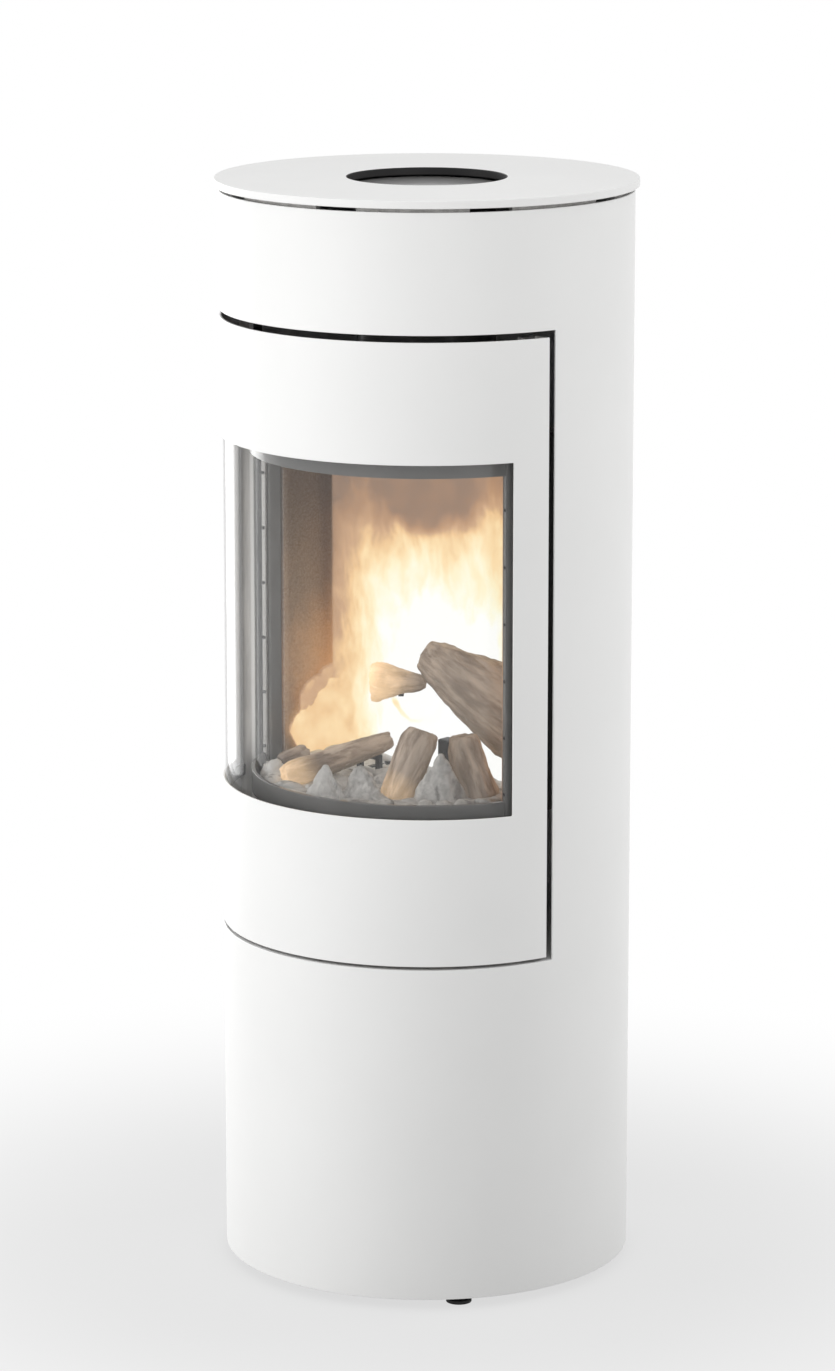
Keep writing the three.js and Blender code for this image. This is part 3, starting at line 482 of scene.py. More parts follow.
def close_tree(start, shape, finish):
    """The tree's end: real geometry, one finish."""
    real = start.node("GeometryNodeRealizeInstances", None, {"Geometry": shape})
    done = start.node("GeometryNodeSetMaterial", None, {"Geometry": real, "Material": finish})
    start.node("NodeGroupOutput", None, {"Geometry": done})


def grow(piece, tree, **values):
    """Runs a tree on a piece with its inputs set by identifier, and keeps the plain result."""
    step = piece.modifiers.new(tree.name, "NODES")
    step.node_group = tree
    for item in tree.interface.items_tree:
        if item.in_out == "INPUT" and item.name in values:
            step[item.identifier] = values[item.name]
    return settle(piece)


roll, g, given = new_tree("roll_blank", ("Blank", "Geometry"), ("Radius", "Float"),
                          ("Finish", "Material"))
along = g.part(g.node("GeometryNodeInputPosition"), "X")
turn = along / given["Radius"]
reach = given["Radius"] - along.out("Y")
rolled_place = g.node("ShaderNodeCombineXYZ", None, {
    "X": reach * g.maths("SINE", turn), "Y": reach * g.maths("COSINE", turn) * -1.0,
    "Z": along.out("Z")})
bent = g.node("GeometryNodeSetPosition", None,
              {"Geometry": given["Blank"], "Position": rolled_place})
welded = g.node("GeometryNodeMergeByDistance", None, {"Geometry": bent, "Distance": 0.00002})
close_tree(g, welded, given["Finish"])
print("tree", roll.name, "nodes:", len(roll.nodes))


# %% A rolled sheet
def rolled(name, radius, thick, turns, levels, finish, window=None, corner=0.0, edge=0.5, step=2.0):
    """A sheet between two angles and two levels, in millimetres and degrees, with a window or
    without, rolled round the stove's axis with its outer face at the radius."""
    arc = radius * MM * math.pi / 180
    full = turns[1] - turns[0] >= 359.9
    xs = [turns[0] * arc, turns[1] * arc]
    zs = [levels[0] * MM, levels[1] * MM]
    if window:
        xs[1:1] = [window[0] * arc, window[1] * arc]
        zs[1:1] = [window[2] * MM, window[3] * MM]
    bm = bmesh.new()
    skin = [[[bm.verts.new((x, y, z)) for z in zs] for x in xs] for y in (0.0, thick * MM)]
    last = len(xs) - 1

    def hole(i, j):
        return window is not None and i == 1 and j == 1

    for i in range(last):
        for j in range(len(zs) - 1):
            if hole(i, j):
                continue
            for side in skin:
                bm.faces.new((side[i][j], side[i + 1][j], side[i + 1][j + 1], side[i][j + 1]))
            walls = [((i, j), (i, j + 1), (i - 1, j), i == 0, full),
                     ((i + 1, j), (i + 1, j + 1), (i + 1, j), i == last - 1, full),
                     ((i, j), (i + 1, j), (i, j - 1), j == 0, False),
                     ((i, j + 1), (i + 1, j + 1), (i, j + 1), j == len(zs) - 2, False)]
            for (a, b), (c, d), (ni, nj), rim, open_end in walls:
                if (rim and not open_end) or (not rim and hole(ni, nj)):
                    bm.faces.new((skin[0][a][b], skin[0][c][d], skin[1][c][d], skin[1][a][b]))
    bmesh.ops.recalc_face_normals(bm, faces=bm.faces)
    if window and corner:
        spots = {(round(x, 6), round(z, 6)) for x in xs[1:3] for z in zs[1:3]}
        posts = [e for e in bm.edges if abs(e.verts[0].co.y - e.verts[1].co.y) > thick * MM / 2
                 and (round(e.verts[0].co.x, 6), round(e.verts[0].co.z, 6)) in spots]
        bmesh.ops.bevel(bm, geom=posts, offset=corner * MM, segments=4, profile=0.5, affect="EDGES")
    round_edges(bm, edge * MM)
    for k in range(math.ceil(turns[0] / step), math.floor(turns[1] / step) + 1):
        if turns[0] + 0.01 < k * step < turns[1] - 0.01:
            bmesh.ops.bisect_plane(bm, geom=bm.verts[:] + bm.edges[:] + bm.faces[:], dist=1e-8,
                                   plane_co=(k * step * arc, 0, 0), plane_no=(1, 0, 0))
    bmesh.ops.recalc_face_normals(bm, faces=bm.faces)
    piece = object_from(name, bm)
    return grow(piece, roll, Radius=radius * MM, Finish=finish)


# %% [markdown]
# ## The drum
# The casing is one sheet, rolled to a full circle and welded down the back, with the door opening
# cut from it. Its radius, its levels and the door's angles are those of the solids. The door panel
# is the same sheet, a little smaller than the opening, with the window cut out.

# %% Casing and door panel
BODY_R = 225.0
SHEET = 2.5
OPEN_HALF = 78.637
DOOR_HALF = 76.6
WINDOW_HALF = 65.7
GLASS_LAP = 8


def levels_of(node):
    """A solid's lowest and highest level, in millimetres."""
    low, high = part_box(node)
    return low[2] / MM, high[2] / MM


open_low = levels_of("bay_floor")[1]
open_high = levels_of("bay_roof")[0]
glass_low, glass_high = levels_of("door_glass")
WINDOW_LOW, WINDOW_HIGH = glass_low + GLASS_LAP, glass_high - GLASS_LAP

outer_shell = rolled("outer_shell_fine", BODY_R, SHEET, (-180, 180), levels_of("outer_shell"),
                     white_coat, window=(-OPEN_HALF, OPEN_HALF, open_low, open_high), corner=1.0)
dress(outer_shell, "casing", "white_enamel", "outer_shell")
door_panel = rolled("door_panel_fine", BODY_R, SHEET, (-DOOR_HALF, DOOR_HALF),
                    levels_of("door_panel"), white_coat, corner=1.5,
                    window=(-WINDOW_HALF, WINDOW_HALF, WINDOW_LOW, WINDOW_HIGH))
dress(door_panel, "door", "white_enamel", "door_panel")

# %% Panes and rails
DOOR_GLASS_R, DOOR_GLASS_HALF = 222.2, 69.22
FIRE_GLASS_R, FIRE_GLASS_HALF = 189.2, 67.2
FRAME_R = 193.5
for name, node, radius, thick, half, body, slot, finish in [
        ("door_pane", "door_glass", DOOR_GLASS_R, 4.0, DOOR_GLASS_HALF,
         "door", "clear_glass", clear_glass),
        ("fire_pane", "fire_glass", FIRE_GLASS_R, 4.0, FIRE_GLASS_HALF,
         "casing", "clear_glass", shaded_glass),
        *((f"door_rail_{end}_fine", "door_rail_" + end, DOOR_GLASS_R, 5.0, DOOR_GLASS_HALF,
           "door", "black_paint", black_coat) for end in ("bottom", "top")),
        *((f"fire_rail_{end}_fine", "fire_rail_" + end, FRAME_R, 4.0, FIRE_GLASS_HALF,
           "casing", "grey_paint", grey_coat) for end in ("bottom", "top"))]:
    strip = rolled(name, radius, thick, (-half, half), levels_of(node), finish, edge=0.4)
    dress(strip, body, slot, node)

# %% [markdown]
# ## Folded sheets
# The door's stiles and the side frames of the fire window are long strips of sheet, folded like a
# hat or a Z. Their section is drawn once in plan, given its wall thickness with mitred corners,
# raised to its height, and then its folds get the small radius that a press brake leaves. The
# flanges of the stiles are bare galvanized sheet, with a painted highlight along their inner fold.
# The left side frame's flange gets the same pale sheet as painted light, for the light that falls
# on that side; the right frame stays grey.


# %% Sections and folds
def polar(radius, angle):
    """A point in plan, in millimetres: an angle from the front, positive to the right."""
    return Vector((radius * math.sin(math.radians(angle)), -radius * math.cos(math.radians(angle))))


def arc_points(radius, start, end, step=1.0):
    """Points in plan along an arc, one about every step, in degrees."""
    count = max(1, round(abs(end - start) / step))
    return [polar(radius, start + (end - start) * i / count) for i in range(count + 1)]


def walled(path, thick):
    """The outline of a strip: one face is the path, the other lies to its right."""
    ways = [(b - a).normalized() for a, b in zip(path, path[1:])]
    sides = [Vector((way.y, -way.x)) for way in ways]
    other = []
    for i, point in enumerate(path):
        before, after = sides[max(i - 1, 0)], sides[min(i, len(sides) - 1)]
        middle = (before + after).normalized()
        other.append(point + middle * (thick / middle.dot(after)))
    return path + other[::-1]


def mirrored(points):
    """An outline's twin on the other side, running the same way round."""
    return [Vector((-p.x, p.y)) for p in points][::-1]


def prism(outline, levels, fold=0.0, edge=0.3):
    """An outline in plan raised between two levels, with rounded folds and edges, as bmesh."""
    bm = bmesh.new()
    low, high = [[bm.verts.new((p.x * MM, p.y * MM, z * MM)) for p in outline] for z in levels]
    for i in range(len(outline)):
        j = (i + 1) % len(outline)
        bm.faces.new((low[i], low[j], high[j], high[i]))
    for rim in (low, high):
        bm.faces.new(rim)
    bmesh.ops.recalc_face_normals(bm, faces=bm.faces)
    if fold:
        upright = [e for e in sharp_edges(bm, 18)
                   if abs(e.verts[0].co.z - e.verts[1].co.z) > 1e-4]
        bevel(bm, upright, fold * MM, 3)
    round_edges(bm, edge * MM, 1)
    return bm


# %% Door stiles and side frames
def bare_or_lit_faces(piece, ray, least):
    """Gives the faces that run along a ray the pale sheet finish: bare galvanized sheet on the
    stiles, and painted light on the left side frame. They are the ones whose normal points across
    the ray by more than the least share."""
    piece.data.materials.append(pale_steel)
    across = Vector((-ray.y, ray.x))
    for face in piece.data.polygons:
        if abs(face.normal.xy.dot(across)) > least:
            face.material_index = 1


STILE_IN, STILE_OUT = 69.3, 75.7
STILE_FACE, STILE_WEB, STILE_SHEET = 221.9, 204.2, 2.0
FRAME_IN, FRAME_OUT = 67.3, 75.0
FRAME_FLANGE, FRAME_SHEET = 186.8, 1.5
LEG_END = Vector((162.3, -60.3))

hat = walled([polar(STILE_FACE, STILE_IN)] + arc_points(STILE_WEB, STILE_IN, STILE_OUT)
             + [polar(STILE_FACE, STILE_OUT)], STILE_SHEET)
frame_strip = walled(arc_points(FRAME_R, FRAME_OUT, FRAME_IN)
                     + [polar(FRAME_FLANGE, FRAME_IN), LEG_END], FRAME_SHEET)
for side, turn_over in (("right", lambda p: p), ("left", mirrored)):
    stile = object_from("door_stile_" + side + "_fine",
                        prism(turn_over(hat), levels_of("door_stile_" + side), fold=0.8))
    dress(stile, "door", "grey_paint", "door_stile_" + side, finish=grey_coat)
    bare_or_lit_faces(stile, polar(1, STILE_IN if side == "right" else -STILE_IN), 0.6)
    side_frame = object_from("side_frame_" + side + "_fine", prism(
        turn_over(frame_strip), levels_of("side_frame_" + side), fold=0.6))
    dress(side_frame, "casing", "grey_paint", "side_frame_" + side, finish=grey_coat)
    # Only the left side frame's flange gets the pale sheet: painted light, for the light that falls
    # on that side. The right frame, the same part, stays grey.
    if side == "left":
        bare_or_lit_faces(side_frame, polar(1, -FRAME_IN), 0.97)

# %% [markdown]
# ## Turned pieces
# The top plate, the spacer ring, the flue's cover and pipes, the feet and the hinge pins are all
# round about an upright axis. Their half section is drawn as a list of radii and heights, its
# corners are eased, and it is swept round. Where the section touches the axis one point closes it.


# %% A turned piece
def eased(profile, width):
    """The section with each corner off the axis cut into a small curve of three points."""
    points = [Vector(p) for p in profile]
    soft = []
    for i, corner in enumerate(points):
        before, after = points[i - 1], points[(i + 1) % len(points)]
        if corner.x < 0.01 or width == 0:
            soft.append(corner)
            continue
        a, b = before - corner, after - corner
        cut = min(width, a.length * 0.4, b.length * 0.4)
        start, end = corner + a.normalized() * cut, corner + b.normalized() * cut
        soft += [start, (start + end + 2 * corner) / 4, end]
    return soft


def turned(name, profile, centre=(0.0, 0.0), sides=180, ease=0.5):
    """An object of a section swept round an upright axis, in millimetres."""
    section = eased(profile, ease)
    angles = [2 * math.pi * k / sides for k in range(sides)]
    bm = bmesh.new()
    rings = []
    for point in section:
        if point.x < 0.01:
            rings.append([bm.verts.new((centre[0] * MM, centre[1] * MM, point.y * MM))] * sides)
            continue
        rings.append([bm.verts.new(((centre[0] + point.x * math.sin(a)) * MM,
                                    (centre[1] - point.x * math.cos(a)) * MM,
                                    point.y * MM)) for a in angles])
    for i, ring in enumerate(rings):
        other = rings[(i + 1) % len(rings)]
        for k in range(sides):
            following = (k + 1) % sides
            different = list(dict.fromkeys(
                (ring[k], ring[following], other[following], other[k])))
            if len(different) > 2:
                bm.faces.new(different)
    return object_from(name, bm)


# %% Top plate, with the dark edge inside its flue hole
PLATE_R = BODY_R + 4.8
HOLE_R = 86.5
top_low, top_high = levels_of("top_plate")
top_plate = turned("top_plate_fine", [(HOLE_R, top_low), (PLATE_R, top_low), (PLATE_R, top_high),
                                      (HOLE_R, top_high)], ease=0.8)
dress(top_plate, "casing", "white_enamel", "top_plate", finish=white_coat)
top_plate.data.materials.append(black_coat)
for face in top_plate.data.polygons:
    if math.hypot(face.center.x, face.center.y) < (HOLE_R + 0.5) * MM:
        face.material_index = 1
print("top plate:", round(top_high - top_low, 1), "mm thick")

# %% [markdown]
# ## The spacer ring under the top plate
# The dark slot under the plate lets warm air out. It is a ring inside the drum's edge, with
# eight blocks on it that carry the plate and leave an air slot between each two. The blocks
# repeat, so a small tree sets one block round a circle.

# %% Spacer ring and its blocks
ring_low, ring_high = levels_of("top_ring")
RING_OUT, RING_FACE, RING_IN = 222.2, 213.2, 204.2
RING_STEP = 1193.4
BLOCKS = 8
FIRST_SLOT = 15.0
SLOT_HALF = math.degrees(23 / 209)  # half of an air slot, at the ring's middle

spacer = turned("spacer_ring", [(RING_IN, ring_low), (RING_OUT, ring_low), (RING_OUT, RING_STEP),
                                (RING_IN, RING_STEP)], ease=0.5)
dress(spacer, "casing", "grey_paint", "top_ring", finish=grey_coat)

around, g, given = new_tree("set_round_axis", ("Piece", "Geometry"), ("Count", "Int"),
                            ("Finish", "Material"))
spots = g.node("GeometryNodeMeshLine", {"mode": "OFFSET"},
               {"Count": given["Count"], "Offset": (0.0, 0.0, 0.0)})
angle = g.node("GeometryNodeInputIndex") / given["Count"] * (2 * math.pi)
copies = g.node("GeometryNodeInstanceOnPoints", None, {
    "Points": spots, "Instance": given["Piece"],
    "Rotation": g.node("ShaderNodeCombineXYZ", None, {"Z": angle})})
close_tree(g, copies, given["Finish"])

block_from = FIRST_SLOT + SLOT_HALF
block_to = FIRST_SLOT + 360 / BLOCKS - SLOT_HALF
block = arc_points(RING_FACE, block_from, block_to) + arc_points(RING_IN, block_to, block_from)
blocks = object_from("spacer_blocks", prism(block, (RING_STEP - 0.4, ring_high), edge=0.4))
grow(blocks, around, Count=BLOCKS, Finish=pale_steel)
dress(blocks, "casing", "grey_paint", "top_ring")

# %% Flue cover and pipes
cover_low, cover_high = levels_of("flue_cover")
LID = cover_high - 3
COLLAR_IN, COLLAR_OUT, LID_R = 70.9, 72.9, 84
flue_cover = turned("flue_cover_fine", [
    (0, LID), (COLLAR_IN, LID), (COLLAR_IN, cover_low), (COLLAR_OUT, cover_low),
    (COLLAR_OUT, LID), (LID_R, LID), (LID_R, cover_high), (0, cover_high)], ease=0.6)
dress(flue_cover, "cover", "grey_paint", "flue_cover", finish=grey_coat)
for node, radius, finish, slot in [("flue_spigot_outer", 75.0, grey_coat, "grey_paint"),
                                   ("flue_spigot_inner", 50.0, zinc, "zinc_steel")]:
    low, high = levels_of(node)
    bore = radius - 1.5
    pipe = turned(node + "_fine", [(bore, low), (radius, low), (radius, high), (bore, high)],
                  ease=0.3, sides=96)
    dress(pipe, "casing", slot, node, finish=finish)

# %% Levelling feet and hinge pins
FOOT_R = 196.0
RUBBER_TOP = 6
FOOT = [(0, 0), (14, 0), (14, 4), (5, RUBBER_TOP), (5, 8.9), (9, 8.9), (9, 14.7), (5, 14.7),
        (5, 30), (0, 30)]
for k, foot_angle in enumerate((-52, 52, 128, -128)):
    node = f"levelling_foot_{k + 1}"
    foot = turned(node + "_fine", FOOT, centre=polar(FOOT_R, foot_angle), sides=48, ease=0.6)
    dress(foot, "casing", "foot_rubber", node, finish=rubber)
    foot.data.materials.append(zinc)
    for face in foot.data.polygons:
        face.material_index = int(face.center.z > (RUBBER_TOP + 0.1) * MM)

HINGE = polar(216.0, -73.2)
PIN_PLAY = 0.3
door_low, door_high = levels_of("door_panel")
for node, flange, tip, reach in [
        ("hinge_pin_bottom", open_low + PIN_PLAY, door_low - PIN_PLAY, 17),
        ("hinge_pin_top", open_high - PIN_PLAY, door_high + PIN_PLAY, -17)]:
    pin = turned(node + "_fine", [(0, flange), (8, flange), (8, tip), (4, tip),
                                  (4, tip + reach), (0, tip + reach)],
                 centre=HINGE, sides=48, ease=0.4)
    dress(pin, "casing", "zinc_steel", node, finish=zinc)

# %% [markdown]
# ## Screws down the side frames
# A row of small cross-head screws holds each side frame's flange, and the left row shows well
# behind the glass. One head is modelled with its cross, and a tree repeats it up a line with the
# count and the pitch as inputs.

# %% Screw heads in a row
SCREWS = 6
SCREW_PITCH = 61.9
SCREW_LOW = 563.0
SCREW_R = 191.3

row, g, given = new_tree("row_up_a_line", ("Piece", "Geometry"), ("Count", "Int"),
                         ("Pitch", "Float"), ("Finish", "Material"))
step = g.node("ShaderNodeCombineXYZ", None, {"Z": given["Pitch"]})
line = g.node("GeometryNodeMeshLine", {"mode": "OFFSET"}, {"Count": given["Count"], "Offset": step})
copies = g.node("GeometryNodeInstanceOnPoints", None,
                {"Points": line, "Instance": given["Piece"]})
close_tree(g, copies, given["Finish"])


def screw_head(place, outward, radius=2.0, sides=16):
    """A low domed head with a cross, its axis along outward, in millimetres."""
    dome = [(radius, 0.0), (radius, 0.3), (radius * 0.8, 0.62), (radius * 0.5, 0.75)]
    rings = [([r] * sides, h) for r, h in dome]
    rings.append(([0.5 * radius * (1.0 if k % 4 == 0 else 0.35) for k in range(sides)], 0.2))
    angles = [2 * math.pi * k / sides for k in range(sides)]
    bm = bmesh.new()
    grid = [[bm.verts.new((r * math.cos(a), r * math.sin(a), h)) for r, a in zip(reach, angles)]
            for reach, h in rings]
    for lower, upper in zip(grid, grid[1:]):
        for k in range(sides):
            following = (k + 1) % sides
            bm.faces.new((lower[k], lower[following], upper[following], upper[k]))
    bm.faces.new(grid[-1])
    bm.faces.new(grid[0][::-1])
    turn_to = Vector((0, 0, 1)).rotation_difference(Vector(outward)).to_matrix()
    for vert in bm.verts:
        vert.co = (turn_to @ vert.co + Vector(place)) * MM
    return bm


for side, sign in (("left", -1), ("right", 1)):
    middle = polar(SCREW_R, sign * FRAME_IN)
    turn = math.radians(FRAME_IN)
    inward = Vector((-sign * math.cos(turn), -math.sin(turn), 0))
    place = Vector((middle.x, middle.y, SCREW_LOW)) + inward * 0.05
    screws = object_from("frame_screws_" + side, screw_head(place, inward))
    grow(screws, row, Count=SCREWS, Pitch=SCREW_PITCH * MM, Finish=black_coat)
    dress(screws, "casing", "black_paint")

# %% [markdown]
# ## Pipes that follow a path
# The gas comes up through the base and the shelf to the valve, and from the valve up to the
# burner. Each pipe is a path with a round section swept along it, which is a job for a tree with
# the radius as its input. The paths are the ones that the solids follow.

# %% Gas pipes
sweep, g, given = new_tree("sweep_pipe", ("Path", "Geometry"), ("Radius", "Float"),
                           ("Finish", "Material"))
section = g.node("GeometryNodeCurvePrimitiveCircle", None,
                 {"Resolution": 24, "Radius": given["Radius"]})
line = g.node("GeometryNodeMeshToCurve", None, {"Mesh": given["Path"]})
tube = g.node("GeometryNodeCurveToMesh", None,
              {"Curve": line, "Profile Curve": section, "Fill Caps": True})
close_tree(g, tube, given["Finish"])


def smooth_path(points, pieces=12):
    """Points of a centripetal Catmull-Rom curve through these, ends included."""
    points = [Vector(p) for p in points]
    full = [2 * points[0] - points[1], *points, 2 * points[-1] - points[-2]]
    path = []
    for a, b, c, d in zip(full, full[1:], full[2:], full[3:]):
        t1 = (b - a).length ** 0.5
        t2 = t1 + (c - b).length ** 0.5
        t3 = t2 + (d - c).length ** 0.5
        for k in range(pieces):
            t = t1 + (t2 - t1) * k / pieces
            ab = a * ((t1 - t) / t1) + b * (t / t1)
            bc = b * ((t2 - t) / (t2 - t1)) + c * ((t - t1) / (t2 - t1))
            cd = c * ((t3 - t) / (t3 - t2)) + d * ((t - t2) / (t3 - t2))
            abc = ab * ((t2 - t) / t2) + bc * (t / t2)
            bcd = bc * ((t3 - t) / (t3 - t1)) + cd * ((t - t1) / (t3 - t1))
            path.append(abc * ((t2 - t) / (t2 - t1)) + bcd * ((t - t1) / (t2 - t1)))
    return path + [points[-1]]


def pipe_along(node, radius, points):
    """A brass pipe along these points, in place of a solid."""
    bm = bmesh.new()
    verts = [bm.verts.new(p * MM) for p in smooth_path(points)]
    for a, b in zip(verts, verts[1:]):
        bm.edges.new((a, b))
    pipe = grow(object_from(node + "_fine", bm), sweep, Radius=radius * MM, Finish=brass)
    dress(pipe, "casing", "brass", node)


valve_high = levels_of("gas_valve")[1]
base_high = levels_of("base_plate")[1]
floor_high = levels_of("chamber_floor")[1]
VALVE_X, VALVE_MIDDLE_Y, VALVE_BACK_Y = 65.0, -95.0, -70.0
middle_z = (open_low + 16 + valve_high) / 2
drop = [open_low - share * (open_low - base_high) for share in (0.16, 0.38, 0.7, 0.9)]
pipe_along("gas_inlet_pipe", 7.5, [
    (VALVE_X, VALVE_MIDDLE_Y, open_low + 15.7), (VALVE_X, VALVE_MIDDLE_Y, drop[0]),
    (VALVE_X, VALVE_MIDDLE_Y, drop[1]), (40, 60, drop[2]), (40, 60, drop[3]), (40, 60, 6)])
pipe_along("burner_feed_pipe", 5.0, [
    (VALVE_X, VALVE_BACK_Y + 0.3, middle_z), (VALVE_X, VALVE_BACK_Y + 18, middle_z),
    (40, -20, middle_z + 45), (40, -20, floor_high - 20), (40, -20, floor_high)])

# %% [markdown]
# ## Softer edges on the plain solids
# Cast and folded parts never have knife edges. A copy of such a solid has its loose triangles
# merged, its flat faces joined, and its sharp edges rounded by half a millimetre or so, which is
# what makes an edge catch the light. The copy then stands for the solid.


# %% Rounded copies
def merged(node):
    """A solid's mesh with its loose triangles joined, as bmesh."""
    bm = bmesh.new()
    bm.from_mesh(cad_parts[node].data)
    bmesh.ops.remove_doubles(bm, verts=bm.verts, dist=2e-6)
    return bm


def softened(node, width, slot="black_paint", finish=black_coat, body="casing"):
    """A solid's copy with rounded edges, which stands for it."""
    bm = merged(node)
    bmesh.ops.dissolve_limit(bm, angle_limit=math.radians(1), verts=bm.verts, edges=bm.edges)
    round_edges(bm, width * MM, least=40)
    dress(object_from(node + "_soft", bm), body, slot, node, finish=finish)


softened("gas_valve", 1.5, "brass", brass)
softened("receiver_box", 2.5, "black_plastic", plastic)
for node, width in (("log_rack", 0.6), ("pilot_hood", 2.0), ("catch_magnet", 0.8)):
    softened(node, width)
for side in ("left", "right"):
    for strut in ("chamber_leg_", "lower_post_", "upper_post_"):
        softened(strut + side, 0.4)
for end in ("top", "bottom"):
    softened("door_hinge_block_" + end, 0.5, "zinc_steel", zinc, body="door")

# %% [markdown]
# ## Finishes on the solids that stay
# The rest of the solids already have their true shape. Each keeps it, and only gets the finish
# listed for it.

# %% Solids that keep their shape
STAYING = [(white_coat, ["bay_floor"]),
           (black_coat, ["base_plate", "bay_roof"]),
           (grey_coat, ["flue_collector", "chamber_floor", "chamber_roof", "chamber_walls",
                        "burner_tray"]),
           (lining, ["lining_left", "lining_right", "lining_back"])]
for finish, nodes in STAYING:
    for node in nodes:
        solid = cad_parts[node]
        if not solid.material_slots:
            solid.data.materials.append(finish)
        for place in solid.material_slots:
            place.link = "OBJECT"
            place.material = finish
print("solids kept:", sum(len(nodes) for _, nodes in STAYING))

# %% [markdown]
# ## The control knob
# The knob is a moulded skirt with a bar across it to grip, and a pale line on the bar that points
# to its setting. It is turned by hand, so its edges are well rounded.

# %% Knob
softened("control_knob", 1.2, "black_plastic", plastic, body="knob")
mark, w, at = new_finish("pale_mark")
coat(w, {"Base Color": w.blend(w.grain(at, 300, 2), shade(205, 205, 200), shade(228, 228, 224)),
         "Roughness": 0.5})
MARK_WIDE, MARK_DEEP, MARK_LONG = 1.4, 0.5, 9
MARK_DOWN = 6
knob_low, knob_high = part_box("control_knob")
pointer = bmesh.new()
bmesh.ops.create_cube(pointer, size=1.0)
for vert in pointer.verts:
    vert.co = Vector(((knob_low.x + knob_high.x) / 2 + vert.co.x * MARK_WIDE * MM,
                      knob_low.y + vert.co.y * MARK_DEEP * MM,
                      knob_high.z - MARK_DOWN * MM + vert.co.z * MARK_LONG * MM))
round_edges(pointer, 0.2 * MM)
dress(object_from("knob_pointer", pointer), "knob", "black_plastic", finish=mark)

# %% [markdown]
# ## Ceramic logs
# Each log is cast in a mould taken from a real branch: long bark ridges, knots and broken ends.
# The solid gives its place and its girth. A copy is remeshed into small even faces, and every
# point is then moved in or out by noise that is drawn out along the log's own axis. The flat
# underside stays where it is, so the log still lies on its bed.


# %% A carved log or stone
def even_mesh(node, name, voxel, smooth):
    """A copy of a solid in small even faces."""
    piece = object_from(name, merged(node))
    remesh = piece.modifiers.new("even", "REMESH")
    remesh.mode, remesh.voxel_size, remesh.adaptivity = "VOXEL", voxel * MM, 0.0
    ease = piece.modifiers.new("ease", "SMOOTH")
    ease.factor, ease.iterations = 0.5, smooth
    return settle(piece)


def long_axis(points):
    """The centre of some points and the direction in which they reach furthest."""
    centre = sum(points, Vector()) / len(points)
    way = max(points, key=lambda p: (p - centre).length) - centre
    for _ in range(12):
        way = sum(((p - centre) * (p - centre).dot(way) for p in points), Vector()).normalized()
    return centre, way


def carve(piece, seed, depth, ridges, along_scale, floor, swell=0.0, chips=0.0):
    """Moves each point in or out along its normal, and keeps its place on the log for the finish.
    The swell makes up for what the smoothing takes off, and chips break a stone into facets."""
    mesh = piece.data
    centre, way = long_axis([v.co.copy() for v in mesh.vertices])
    side = way.cross(Vector((0, 0, 1))).normalized()
    up = side.cross(way)
    places = []
    for vert in mesh.vertices:
        out = vert.co - centre
        spot = Vector((out.dot(way), out.dot(side), out.dot(up)))
        places += [spot.x + seed * 0.37, spot.y, spot.z]
        stretched = Vector((spot.x * along_scale, spot.y, spot.z))
        ridge = 1 - abs(noise.noise(stretched * ridges + Vector((seed, 3.1, 0.7)))) * 2
        lump = noise.noise(spot * 26 + Vector((seed * 2, 0, 0)))
        fine = noise.noise(stretched * ridges * 3.1 + Vector((0, seed, 0)))
        move = swell + depth * (0.55 * ridge + 0.65 * lump + 0.3 * fine - 0.33)
        if chips:
            reach = noise.voronoi(spot * 52 + Vector((seed, seed, 0)))[0]
            move += chips * (min(reach[1] - reach[0], 0.4) * 2.5 - 0.6)
        if vert.co.z > floor + 0.0009:
            vert.co = vert.co + vert.normal * move
            vert.co.z = max(vert.co.z, floor + 0.0002)
    mesh.attributes.new("bark", "FLOAT_VECTOR", "POINT").data.foreach_set("vector", places)


BED = levels_of("burner_tray")[1]
UNDERSIDE = (BED + 0.3) * MM
for k in range(1, 7):
    node = f"log_{k}"
    log = even_mesh(node, node + "_carved", voxel=1.8, smooth=2)
    carve(log, seed=1.7 * k, depth=2.7 * MM, ridges=120, along_scale=0.2, floor=UNDERSIDE,
          swell=0.6 * MM)
    dress(log, "casing", "log_ceramic", node, finish=log_ceramic, angle=70)

# %% [markdown]
# ## Stones and pebbles
# Four large stones and a bed of small pebbles hide the burner. The large ones are carved like the
# logs, with chips that break them into broader facets. The pebbles are scattered by a tree: a
# seeded spread of points over the bed, one rounded pebble on each with its own size and turn, and
# noise at the end so that no two are alike. Under them lies a thin layer of grit, a square grid
# of points lifted by noise, so that no bare tray shows between two pebbles.

# %% Large stones
for k in range(1, 5):
    node = f"stone_{k}"
    stone = even_mesh(node, node + "_carved", voxel=1.4, smooth=4)
    carve(stone, seed=2.9 * k + 11, depth=(2.4 if k == 1 else 1.5) * MM, ridges=48,
          along_scale=0.8, floor=UNDERSIDE, swell=0.6 * MM, chips=1.6 * MM)
    dress(stone, "casing", "stone_ceramic", node, finish=stone_ceramic, angle=60)

# %% Grit under the pebbles
def inside(outline, x, y):
    """Whether a point lies in an outline, by counting the edges to its right."""
    hits = 0
    for a, b in zip(outline, outline[1:] + outline[:1]):
        if (a.y > y) != (b.y > y) and x < a.x + (y - a.y) * (b.x - a.x) / (b.y - a.y):
            hits += 1
    return hits % 2 == 1


def bed_edge(radius, half, front, back):
    """The bed in plan: an arc behind the fire glass, and the chamber's sides and back."""
    corners = ((half, front), (half, back), (-half, back), (-half, front))
    return arc_points(radius, -60, 60, 4) + [Vector(corner) for corner in corners]


